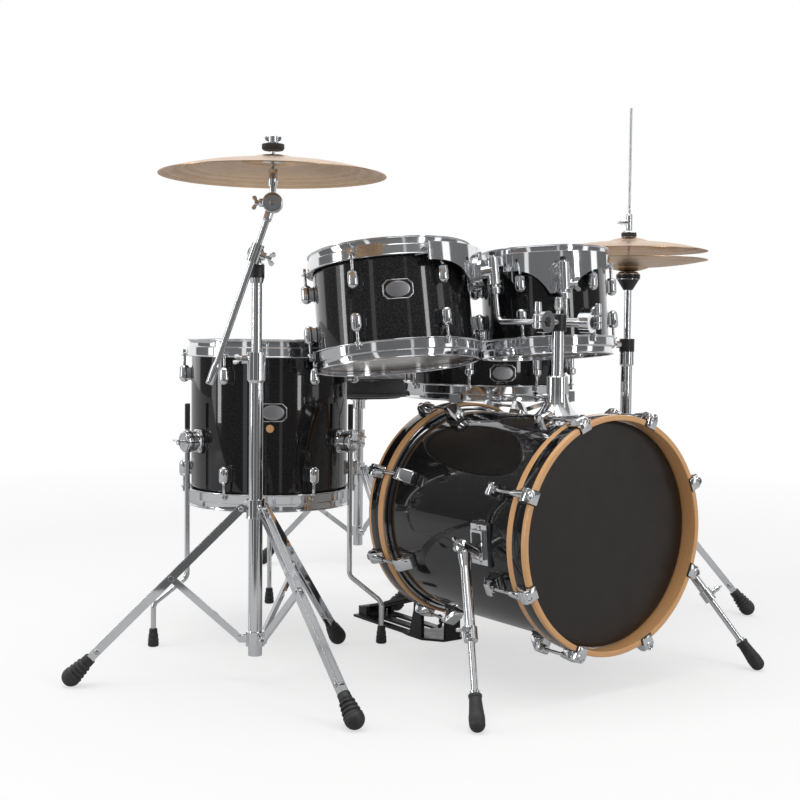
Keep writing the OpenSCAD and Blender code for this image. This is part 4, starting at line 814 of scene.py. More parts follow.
@dataclass(frozen=True)
class Film(Finish):
    """Drum film, plain or coated."""

    colour: Colour = (0.80, 0.79, 0.75)
    rough: float = 0.55
    grain: float = 0.12
    coat: float = 0.0
    dust: Colour = (0.45, 0.44, 0.42)
    dust_share: float = 0.06

    def shade(self, tree: Tree) -> Dict[str, Any]:
        """Sprays a fine grain, a little cloudy.

        Args:
            tree: Node tree of the material.

        Returns:
            The shader's inputs, by name.
        """
        pebble = Pebble().use(tree, Size=1400.0)
        base = mix_colour(tree, pebble["Mask"], self.colour, scaled(self.colour, 0.88))
        return dict(Base_Color=self.dusted(tree, base),
                    Roughness=span(tree, pebble["Mask"], 0, 1, self.rough - 0.05, self.rough + 0.05),
                    Coat_Weight=self.coat, Coat_Roughness=0.2, Normal=bump(tree, pebble["Height"], self.grain, 0.0002))


@dataclass(frozen=True)
class Rubber(Finish):
    """Moulded rubber or nylon, scuffed and a little dusty."""

    colour: Colour = (0.018, 0.018, 0.019)
    rough: float = 0.55
    size: float = 1300.0
    dust: Colour = (0.22, 0.21, 0.2)
    dust_share: float = 0.3

    def shade(self, tree: Tree) -> Dict[str, Any]:
        """Lays grain and scuffs.

        Args:
            tree: Node tree of the material.

        Returns:
            The shader's inputs, by name.
        """
        pebble = Pebble().use(tree, Size=self.size)
        base = mix_colour(tree, pebble["Mask"], self.colour, scaled(self.colour, 2.2, 0.01))
        return dict(Base_Color=self.dusted(tree, base),
                    Roughness=span(tree, pebble["Mask"], 0, 1, self.rough - 0.1, self.rough + 0.12),
                    Normal=bump(tree, pebble["Height"], 0.2, 0.0002))


@dataclass(frozen=True)
class Felt(Finish):
    """Pressed wool felt."""

    colour: Colour = (0.012, 0.012, 0.013)

    def shade(self, tree: Tree) -> Dict[str, Any]:
        """Tangles fine fibres."""
        fibres = noise(tree, here(tree), 1100.0, 5.0, Roughness=0.8, Distortion=1.5)
        base = mix_colour(tree, span(tree, fibres, 0.4, 0.75), self.colour, scaled(self.colour, 3, 0.02))
        return dict(Base_Color=base, Roughness=0.95, Sheen_Weight=0.25, Sheen_Roughness=0.6,
                    Normal=bump(tree, fibres, 0.6, 0.0006))


@dataclass(frozen=True)
class Vinyl(Finish):
    """Soft black seat vinyl with a leather grain."""

    colour: Colour = (0.016, 0.016, 0.017)

    def shade(self, tree: Tree) -> Dict[str, Any]:
        """Presses cells and fine creases into the cover.

        Args:
            tree: Node tree of the material.

        Returns:
            The shader's inputs, by name.
        """
        where = here(tree)
        cells = put(tree, "TexVoronoi", {"Vector": where, "Scale": 420.0}, feature="DISTANCE_TO_EDGE").outputs[0]
        crease = noise(tree, where, 60.0, 5.0, Distortion=1.0)
        height = plus(tree, span(tree, cells, 0.0, 0.25), times(tree, crease, 0.5))
        base = mix_colour(tree, span(tree, crease, 0.35, 0.7), self.colour, scaled(self.colour, 1.8))
        return dict(Base_Color=self.dusted(tree, base),
                    Roughness=span(tree, crease, 0.3, 0.7, 0.34, 0.46), Coat_Weight=0.15, Coat_Roughness=0.3,
                    Normal=bump(tree, height, 0.35, 0.0004))


@dataclass(frozen=True)
class Brushed(Finish):
    """Metal brushed in straight lines across the piece."""

    colour: Colour = (0.62, 0.62, 0.65)
    rough: float = 0.32

    def shade(self, tree: Tree) -> Dict[str, Any]:
        """Draws long fine lines.

        Args:
            tree: Node tree of the material.

        Returns:
            The shader's inputs, by name.
        """
        lines = put(tree, "Mapping", {"Vector": here(tree), "Scale": (60.0, 60.0, 3000.0)}).outputs[0]
        streaks = noise(tree, lines, 1.0, 3.0)
        return dict(Base_Color=mix_colour(tree, streaks, self.colour, scaled(self.colour, 0.8)), Metallic=1.0,
                    Roughness=span(tree, streaks, 0.3, 0.7, self.rough - 0.06, self.rough + 0.08),
                    Normal=bump(tree, streaks, 0.15, 0.0002))


@dataclass(frozen=True)
class Stage(Finish):
    """Matt pale floor that shows white where no shadow falls on it."""

    colour: Colour = (0.46, 0.46, 0.46)
    glow: float = 0.60
    far: float = 0.80

    def shade(self, tree: Tree) -> Dict[str, Any]:
        """Adds a plain glow that grows where the lamps don't reach.

        Args:
            tree: Node tree of the material.

        Returns:
            The shader's inputs, by name.
        """
        path = put(tree, "LightPath").outputs
        bounced = plus(tree, path["Is Glossy Ray"], path["Is Transmission Ray"])
        seen = plus(tree, path["Is Camera Ray"], times(tree, bounced, 0.25))
        away = put(tree, "VectorMath", {0: here(tree)}, operation="LENGTH").outputs["Value"]
        glow = span(tree, away, 1.5, 4.5, self.glow, self.far)
        return dict(Base_Color=self.colour, Roughness=0.9, Specular_IOR_Level=0.0, Emission_Color=WHITE,
                    Emission_Strength=times(tree, seen, glow))


BLACK_COAT = Coat("Black powder coat", Slot.CHROME)
LACQUER = Lacquer("Gloss black lacquer", Slot.LACQUER, flakes=0.25)
SPARKLE = Lacquer("Gloss black lacquer with flake", Slot.LACQUER, flakes=0.55)
CHROME = Chrome("Polished chrome", Slot.CHROME)
CAST_CHROME = Chrome("Cast chrome", Slot.CHROME, edge=0.7)
STEEL = Chrome("Bright steel", Slot.CHROME, colour=(0.62, 0.62, 0.63), low=0.16, high=0.3)
BRONZE = Bronze("Lathed bronze", Slot.BRONZE)
MAPLE = Timber("Lacquered maple", Slot.WOOD)
INLAY = Lacquer("Gloss black inlay", Slot.RUBBER, flakes=0.0)
DARK_FILM = Film("Dark resonant film", Slot.DARK_FILM, colour=(0.012, 0.0075, 0.006), rough=0.42, grain=0.05, coat=0.15)
COATED_FILM = Film("Coated white film", Slot.COATED_FILM)
CLEAR_FILM = Film("Milky resonant film", Slot.COATED_FILM, colour=(0.32, 0.26, 0.19), rough=0.22, grain=0.03, coat=0.5)
RUBBER = Rubber("Black rubber", Slot.RUBBER)
NYLON = Rubber("Black nylon", Slot.RUBBER, colour=(0.012, 0.012, 0.012), rough=0.35, size=2600.0)
FELT = Felt("Black felt", Slot.RUBBER)
PALE_FELT = Felt("Grey felt", Slot.COATED_FILM, colour=(0.42, 0.41, 0.39))
VINYL = Vinyl("Black seat vinyl", Slot.COVER)
BADGE = Brushed("Blank badge plate", Slot.CHROME)
PIPING = Rubber("Seat piping", Slot.COVER, colour=(0.01, 0.01, 0.01), rough=0.4)
THREAD = Felt("Seat thread", Slot.COVER, colour=(0.03, 0.03, 0.03))


# ---------- Drums ----------


@dataclass
class DrumSizes:
    """Sections that every drum shares, measured from the shell's outer wall and its bearing edge."""

    edge_in: float = 3.2
    edge_out: float = 2.0
    film: float = 0.8
    band_out: float = 7.0
    band_top: float = 6.0
    band_low: float = 16.0
    gap: float = 0.5
    rim: float = 2.3
    lip: float = 11.8
    skirt: float = 24.0
    wall_in: float = 3.0
    skirt_in: float = 7.6
    lip_out: float = 8.5
    flange_out: float = 13.0
    rod_out: float = 15.0
    rod: float = 6.0
    ear: float = 14.0
    lug_width: float = 21.0
    lug_height: float = 36.0
    lug_inset: float = 44.0


SIZES = DrumSizes()
MIRROR = Matrix.Scale(-1, 4, (0, 0, 1))


def both_ends(at: Matrix, depth: float) -> List[Matrix]:
    """Returns a drum's frame at one end, and the mirrored one at the other."""
    return [at, at @ shift(0, 0, -depth) @ MIRROR]


def shell_ring(radius: float, depth: float, wall: float) -> Outline:
    """Returns the section of a shell with a bearing edge at both ends."""
    s = SIZES
    edge = [(radius - wall, s.edge_in - wall), (radius - s.edge_in, 0), (radius - s.edge_out, 0), (radius, -s.edge_out)]
    return soften(edge + [(x, -depth - z) for x, z in reversed(edge)], 0.8)


def film_side(radius: float, border: float) -> Outline:
    """Returns the section of a film that folds into its band; its border slopes to the bearing edge."""
    s, c = SIZES, radius + SIZES.gap
    return [(0, s.film), (radius * 0.5, s.film), (radius - border, s.film), (radius - s.edge_out + 0.3, s.film - 0.1),
            (c + 0.5, -0.8), (c + s.film, -s.edge_out - 0.6), (c + s.film, -s.band_top - 1), (c, -s.band_top - 1),
            (c, -s.edge_out - 0.6), (radius - s.edge_out, 0.1), (0, 0.1)]


def band_side(radius: float) -> Outline:
    """Returns the section of the band that holds a film."""
    s, c = SIZES, radius + SIZES.gap + 0.2
    band = [(c, -s.band_low), (radius + s.band_out, -s.band_low), (radius + s.band_out, -s.band_top), (c, -s.band_top)]
    return soften(band, 1.5)


@dataclass
class Badge:
    """Blank badge: a bright frame with clipped corners round a dark field and a plain oval."""

    angle: float
    height: float
    width: float = 58.0
    tall: float = 37.0
    clip: float = 9.0

    def build(self, name: str, body: str, radius: float, at: Matrix) -> None:
        """Bends the badge round its shell.

        Args:
            name: Name of the drum.
            body: Body that the drum moves with.
            radius: Radius of the shell.
            at: The drum's frame.
        """
        w, h, c = self.width / 2, self.tall / 2, self.clip
        clipped = [(w, -h + c), (w, h - c), (w - c, h)]
        corners = [(-w, -h + c), (-w + c, -h), (w - c, -h)] + clipped + [(-w + c, h), (-w, h - c)]
        octagon = []
        for a, b in zip(corners, corners[1:] + corners[:1]):
            octagon += [tuple(Vector(a).lerp(Vector(b), k / 5)) for k in range(5)]
        octagon = soften(octagon, 3.0, steps=2)
        oval = [(x * (w - 6.5), y * (h - 3.6)) for x, y in ring_of(1.0, 48)]

        def bend(x: float, y: float, z: float) -> Vector:
            """Returns the place on the drum of a point of the flat badge."""
            far = math.radians(self.angle) + x / radius
            return at @ Vector(((radius + z) * math.cos(far), (radius + z) * math.sin(far), self.height + y))

        border, back, plate = Shape(), Shape(), Shape()
        rolled = [(1.0, -0.3), (1.0, 1.2), (0.985, 1.7), (0.95, 1.9), (0.92, 1.7), (0.905, 1.0), (0.9, 0.2)]
        self._layers(border, octagon, rolled, bend)
        self._layers(back, octagon, [(0.93, 0.3), (0.93, 0.8), (0.6, 0.8), (0.3, 0.8), (0.0, 0.8)], bend)
        domed = [(1.0, 0.5), (1.0, 1.3), (0.97, 1.7), (0.9, 1.9), (0.6, 2.1), (0.3, 2.2), (0.0, 2.2)]
        self._layers(plate, oval, domed, bend)
        border.piece(f"{name}_badge_frame", body, CHROME, crease=50)
        back.piece(f"{name}_badge_field", body, NYLON)
        plate.piece(f"{name}_badge_plate", body, BADGE, crease=50)

    @staticmethod
    def _layers(shape: Shape, outline: Outline, rows: Outline, bend: Callable[[float, float, float], Vector]) -> None:
        """Stacks scaled copies of an outline into a surface.

        Args:
            shape: The shape that takes the surface.
            outline: The outline of scale 1.
            rows: Pairs of scale and height.
            bend: Function that gives each point its place.
        """
        rings = []
        for scale, z in rows:
            spots = outline if scale else [(0.0, 0.0)]
            rings.append([shape.bm.verts.new(bend(x * scale, y * scale, z)) for x, y in spots])
        shape._grid(rings, False, 100.0, [z for _, z in rows])


@dataclass
class Drum:
    """A shell with its heads, rims, lugs and tension rods.

    The frame's origin is in the plane of the upper bearing edge, +Z out of the drum.
    """

    name: str
    body: str
    radius: float
    depth: float
    lugs: int
    lug_start: float
    tilt: float = 0.0
    wall: float = 7.0
    shell_finish: Finish = LACQUER
    badge: Optional[Badge] = None
    vent: Tuple[float, float] = (120.0, 0.5)
    vent_finish: Finish = CHROME
    tube_lug: bool = False

    def frame(self) -> Matrix:
        """Returns the drum's frame, from the place of its solid shell."""
        heart = middle(f"{self.name}_shell")
        return Matrix.Translation(heart) @ turn(-self.tilt, "X") @ shift(0, 0, self.depth / 2)

    def ends(self, at: Matrix) -> List[Matrix]:
        """Returns the frames of the upper and the mirrored lower end."""
        return both_ends(at, self.depth)

    def angles(self) -> List[float]:
        """Returns the directions of the lugs, in degrees."""
        return [self.lug_start + 360 * i / self.lugs for i in range(self.lugs)]

    def build(self) -> None:
        """Builds the whole drum."""
        at = self.frame()
        self.shell(at)
        self.heads(at)
        self.rims(at)
        self.hardware(at)
        if self.badge:
            self.badge.build(self.name, self.body, self.radius, at)

    def shell(self, at: Matrix) -> None:
        """Turns the shell with its bearing edges, and sets its vent.

        Args:
            at: Frame of the drum's upper end.
        """
        name, body = self.name, self.body
        wall = Shape().lathe(shell_ring(self.radius, self.depth, self.wall), at, 224, True)
        wall.piece(f"{name}_gloss_shell", body, self.shell_finish, [f"{name}_shell"])
        angle, share = self.vent
        hole = at @ turn(angle) @ shift(self.radius - 0.6, 0, -self.depth * share) @ turn(90, "Y")
        if self.vent_finish is MAPLE:
            Shape().lathe([(8, -0.6), (8, 1.0), (7.4, 1.7), (0, 1.9)], hole, 40).piece(f"{name}_plug", body, MAPLE)
            return
        eyelet = Shape().lathe([(4.6, -1), (4.6, 1.2), (5.2, 2.2), (7.4, 2.2), (8.2, 1.4), (8.2, -0.4)], hole, 40)
        eyelet.piece(f"{name}_vent", body, self.vent_finish)
        # Matt black disc inside the eyelet stands for the dark inside of the shell: painted shade.
        Shape().lathe([(0, 0.4), (4.8, 0.4)], hole, 32).piece(f"{name}_vent_bore", body, NYLON)

    def heads(self, at: Matrix) -> None:
        """Stretches both films and folds them into their bands.

        Args:
            at: Frame of the drum's upper end.
        """
        film, bands = film_side(self.radius, SIZES.edge_out + 4), Shape()
        for end, side, finish in zip(self.ends(at), ("upper", "lower"), (COATED_FILM, CLEAR_FILM)):
            stands_for = [f"{self.name}_heads"] if side == "upper" else []
            Shape().lathe(film, end, 128).piece(f"{self.name}_{side}_film", self.body, finish, stands_for, crease=60)
            bands.lathe(band_side(self.radius), end, 128, True)
        bands.piece(f"{self.name}_film_bands", self.body, STEEL)

    def rims(self, at: Matrix) -> None:
        """Rolls both steel rims with their ears.

        Args:
            at: Frame of the drum's upper end.
        """
        r, s = self.radius, SIZES
        w, k, t = r + s.wall_in, r + s.skirt_in, s.rim
        section = [(w, -s.band_top), (w, s.lip), (r + s.lip_out, s.lip), (r + s.lip_out, s.lip - t), (w + t, s.lip - t),
                   (w + t, t - s.band_top), (k + t, t - s.band_top), (k + t, t - s.skirt)]
        section += [(r + s.flange_out, t - s.skirt), (r + s.flange_out, -s.skirt), (k, -s.skirt), (k, -s.band_top)]
        rims, ear, root = Shape(), Shape(), k + 1 - r - s.rod_out
        outline = [(root, 6.8)] + ring_of(s.ear / 2, 20, 90, -180) + [(root, -6.8)]
        ear.plate(outline, t + 0.6, shift(r + s.rod_out, 0, -s.skirt - 0.3), 0.8)
        for end in self.ends(at):
            rims.lathe(soften(section, 1.5), end, 224, True)
            rims.stamp(ear, [end @ turn(a) for a in self.angles()])
        rims.piece(f"{self.name}_steel_rims", self.body, CHROME, [f"{self.name}_rims"], crease=40)

    def tension_rod(self, shape: Shape, lug_top: float) -> None:
        """Adds a key-headed rod with its washer.

        Args:
            shape: Takes the rod.
            lug_top: Depth of the lug's top below the edge.
        """
        s = SIZES
        x, seat = self.radius + s.rod_out, s.rim - s.skirt + 0.3
        shape.rod((x, 0, -lug_top - 10), (x, 0, seat + 1), s.rod, 0.3)
        shape.lathe([(3, seat), (5.3, seat), (5.3, seat + 0.9), (4.6, seat + 1.2), (4.7, seat + 3), (4.0, seat + 3.6),
                     (0, seat + 3.6)], shift(x, 0, 0), 24)
        shape.block((x - 3, -3, seat + 2.5), (6, 6, 8.4), ease=0.8, round_off=0.6)

    def lug(self, shape: Shape, pad: Shape, top: float, tall: float) -> None:
        """Adds a lug casing, and the pad between it and the shell.

        Args:
            shape: Takes the casing.
            pad: Takes the pad.
            top: Depth of the casing's top below the edge.
            tall: Height of the casing.
        """
        r, x, w = self.radius, self.radius + SIZES.rod_out, SIZES.lug_width / 2
        low = -top - tall
        if self.tube_lug:
            body = [(0, low), (w - 3.6, low), (w - 3.2, low + 0.6), (w, low + 4), (w, low + 13), (w - 2, low + 15),
                    (w - 4.5, low + 16), (w - 4.5, -top - 16), (w - 2, -top - 15), (w, -top - 13), (w, -top - 4),
                    (w - 3.2, -top - 0.6), (w - 3.6, -top), (3.6, -top), (3.4, -top - 5), (0, -top - 5)]
        else:
            bowl = [math.radians(a) for a in range(12, 91, 13)]
            body = [(0, low)] + [(w * math.sin(a), low + w - w * math.cos(a)) for a in bowl]
            body += [(w, low + w + 2), (w, -top - 7), (w - 0.7, -top - 6), (w - 0.7, -top - 5), (w, -top - 4.2),
                     (w - 3.4, -top - 0.4), (w - 4.2, -top), (3.8, -top), (3.4, -top - 5), (0, -top - 5)]
        shape.lathe(body, shift(x, 0, 0), 36)
        shape.block((r - 1.0, -w + 1.6, low + 5), (SIZES.rod_out, 2 * w - 3.2, tall - 10), round_off=1.0, ease=2.0)
        face = shift(r - 2.2, 0, low + tall / 2) @ turn(90, "Y") @ turn(90)
        pad.plate(oblong(w - 0.4, tall / 2 - 3.4, 3.5), 3.2, face, 0.6)

    def hardware(self, at: Matrix) -> None:
        """Sets the lugs, their pads and the tension rods at both ends.

        Args:
            at: Frame of the drum's upper end.
        """
        lug, pad, lugs, pads = Shape(), Shape(), Shape(), Shape()
        self.lug(lug, pad, SIZES.lug_inset, SIZES.lug_height)
        self.tension_rod(lug, SIZES.lug_inset)
        spots = [end @ turn(a) for end in self.ends(at) for a in self.angles()]
        lugs.stamp(lug, spots)
        pads.stamp(pad, spots)
        lugs.piece(f"{self.name}_lug_set", self.body, CHROME, [f"{self.name}_lugs"], crease=38)
        pads.piece(f"{self.name}_lug_pads", self.body, RUBBER)


@dataclass
class FloorTom(Drum):
    """Floor tom with three leg brackets and bent legs."""

    bracket_height: float = 125.0
    leg: float = 10.5
    leg_out: float = 28.0
    barrel_radius: float = 20.6
    leg_reach: float = 268.0
    knee: float = 134.0
    ankle: float = 86.0
    cap: float = 52.0

    def build(self) -> None:
        """Builds the drum, then its legs."""
        super().build()
        self.legs(self.frame())

    def hardware(self, at: Matrix) -> None:
        """Adds the leg brackets to the lugs.

        Args:
            at: Frame of the drum's upper end.
        """
        super().hardware(at)
        r, x = self.radius, self.radius + self.leg_out
        part, pad = Shape(), Shape()
        self.barrel(part, shift(r, 0, 0) @ turn(90, "Y"))
        for z in (-20.4, 20.4):
            part.lathe([(self.leg / 2 + 0.6, -1.2), (8.6, -1.2), (8.6, 0.8), (7.8, 1.6), (self.leg / 2 + 0.6, 1.6)],
                       shift(x, 0, z) @ (Matrix() if z > 0 else turn(180, "X")), 36, True)
        part.wing_bolt(shift(x + 10, 0, 0) @ turn(90, "Y") @ turn(70), 7)
        for z in (-18, 18):
            part.lathe([(0, 4), (3.4, 4), (4.6, 2.6), (4.6, 0)], shift(r + 5.6, 0, z) @ turn(90, "Y"), 20)
        part.plate(oblong(24, 17, 7), 3.4, shift(r + 2.2, 0, 0) @ turn(90, "Y"), 1.2)
        pad.plate(oblong(25.5, 18, 7), 6, shift(r - 3.6, 0, 0) @ turn(90, "Y"), 0.6)
        base = at @ shift(0, 0, self.bracket_height - self.depth)
        spots = [base @ turn(180 + 120 * i) for i in range(3)]
        Shape().stamp(part, spots).piece("floor_tom_leg_brackets", self.body, CHROME)
        Shape().stamp(pad, spots).piece("floor_tom_bracket_pads", self.body, RUBBER)

    def barrel(self, part: Shape, at: Matrix) -> None:
        """Turns the bracket's barrel, open for the leg that passes through it.

        Args:
            part: Takes the shapes.
            at: Frame on the shell, pointing out of the drum.
        """
        big, out, gap = self.barrel_radius, self.leg_out, self.leg / 2 + 1
        waist = [(0.1, 0), (big, 0), (big, 6), (big - 2, 8), (big - 2, 10), (big, 12)]
        cap = [(0.1, out + gap), (big, out + gap), (big, out + 8.5), (big - 1.6, out + 10.5), (0.1, out + 10.7)]
        part.lathe(waist + [(big, out - gap), (0.1, out - gap)], at, 56, True)
        part.lathe(soften(cap, 0.5), at, 56, True)
        wide = math.degrees(math.acos(gap / big))
        for s in (-1, 1):
            arc = [math.radians(-wide + 2 * wide * k / 20) for k in range(21)]
            wall = [(big * math.sin(t), s * big * math.cos(t)) for t in arc]
            part.plate(wall, 2 * gap + 0.4, at @ shift(0, 0, out - gap - 0.2), 0.02)

    def legs(self, at: Matrix) -> None:
        """Bends the legs, and fits their feet and the black caps of their upper ends.

        Args:
            at: Frame of the drum's upper end.
        """
        x, out = self.radius + self.leg_out, self.leg_reach
        for i in range(3):
            place = Matrix.Translation((at.translation.x, at.translation.y, 0)) @ turn(180 + 120 * i)
            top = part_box(f"floor_tom_leg_{i + 1}")[1].z / MM
            path = rounded_path([(x, 0, top), (x, 0, self.knee), (out, 0, self.ankle), (out, 0, 12)], 18, 10)
            Shape().sweep([place @ p for p in path], self.leg, 24).piece(
                f"floor_tom_leg_rod_{i + 1}", f"floor_leg_{i + 1}", CHROME, [f"floor_tom_leg_{i + 1}"])
            foot = [(0, 0), (8.6, 0), (10.6, 1.4), (11, 3), (11, 8), (10.2, 8.8), (10.2, 10.2), (10.9, 11), (10.6, 15),
                    (9.7, 16), (9.6, 18), (10, 19), (9.2, 26), (8.3, 27), (8.2, 29), (8.6, 30), (7.8, 36), (5.4, 37.2)]
            boot = Shape().lathe(foot, place @ shift(out, 0, 0), 40)
            boot.piece(f"floor_tom_leg_foot_{i + 1}", f"floor_leg_{i + 1}", RUBBER)
            h = self.leg / 2
            side = [(h - 0.2, -self.cap), (h + 0.2, -self.cap), (h + 0.2, -1), (h - 0.8, 0.2), (0, 0.3)]
            cap = Shape().lathe(side, place @ shift(x, 0, top), 24)
            cap.piece(f"floor_tom_leg_cap_{i + 1}", f"floor_leg_{i + 1}", NYLON)


@dataclass
class Snare(Drum):
    """Snare drum with double-ended lugs, strainer, butt plate and wires."""

    strainer: float = 67.5
    strands: int = 20
    strand_gap: float = 2.1

    def hardware(self, at: Matrix) -> None:
        """Sets double-ended lugs and the snare mechanism.

        Args:
            at: Frame of the drum's upper end.
        """
        lug, rod, pad = Shape(), Shape(), Shape()
        self.lug(lug, pad, SIZES.lug_inset, self.depth - 2 * SIZES.lug_inset)
        self.tension_rod(rod, SIZES.lug_inset)
        lugs = Shape().stamp(lug, [at @ turn(a) for a in self.angles()])
        lugs.stamp(rod, [end @ turn(a) for end in self.ends(at) for a in self.angles()])
        self.strainers(lugs, at)
        lugs.piece("snare_lug_set", self.body, CHROME, ["snare_lugs"], crease=38)
        pads = Shape().stamp(pad, [at @ turn(a) for a in self.angles()])
        pads.piece("snare_lug_pads", self.body, RUBBER)
        self.wires(at @ turn(self.lug_start + self.strainer))

    def strainers(self, shape: Shape, at: Matrix) -> None:
        """Adds the throw-off with its lever and knob, and the butt plate across from it.

        Args:
            shape: Takes the fittings.
            at: Frame of the drum's upper end.
        """
        r = self.radius
        for k in (0, 1):
            place = at @ turn(self.lug_start + self.strainer + 180 * k)
            shape.block((r - 1, -15, -96 + 10 * k), (11, 30, 52 - 10 * k), place, 5, 1.5)
            shape.block((r + 8, -9, -104), (8, 18, 34), place, 3, 1.2)
            for s in (-1, 1):
                screw = place @ shift(r + 9.5, 10 * s, -54) @ turn(90, "Y")
                shape.lathe([(0, 3), (2.6, 3), (3.6, 1.8), (3.6, 0)], screw, 18)
            if k == 0:
                shape.block((0, -7, 0), (5, 14, 50), place @ shift(r + 16, 0, -88) @ turn(12, "Y"), 2, 1.2)
                shape.rod(place @ Vector((r + 12, -12, -88)), place @ Vector((r + 12, 12, -88)), 14, 1)
                shape.rod(place @ Vector((r + 12, 0, -84)), place @ Vector((r + 12, 0, -62)), 11, 1.2)

    def wires(self, at: Matrix) -> None:
        """Winds the coiled wires between two end plates under the lower film.

        Args:
            at: Frame of the drum, turned to the strainer.
        """
        z = -self.depth - SIZES.film - 1.0
        coils, plates = Shape(), Shape()
        for i in range(self.strands):
            y = (i - (self.strands - 1) / 2) * self.strand_gap
            coil = [(x * 1.5 - 148, 0.45 * math.cos(x * 1.9), 0.45 * math.sin(x * 1.9)) for x in range(198)]
            coils.sweep([at @ Vector((x, y + off, z + up)) for x, off, up in coil], 0.6, 4)
        coils.piece("snare_wires", self.body, STEEL)
        for s in (-1, 1):
            plates.block((s * 150 - 6, -23, z - 0.6), (12, 46, 1.4), at, 2, 0.4)
        plates.piece("snare_wire_plates", self.body, CHROME)


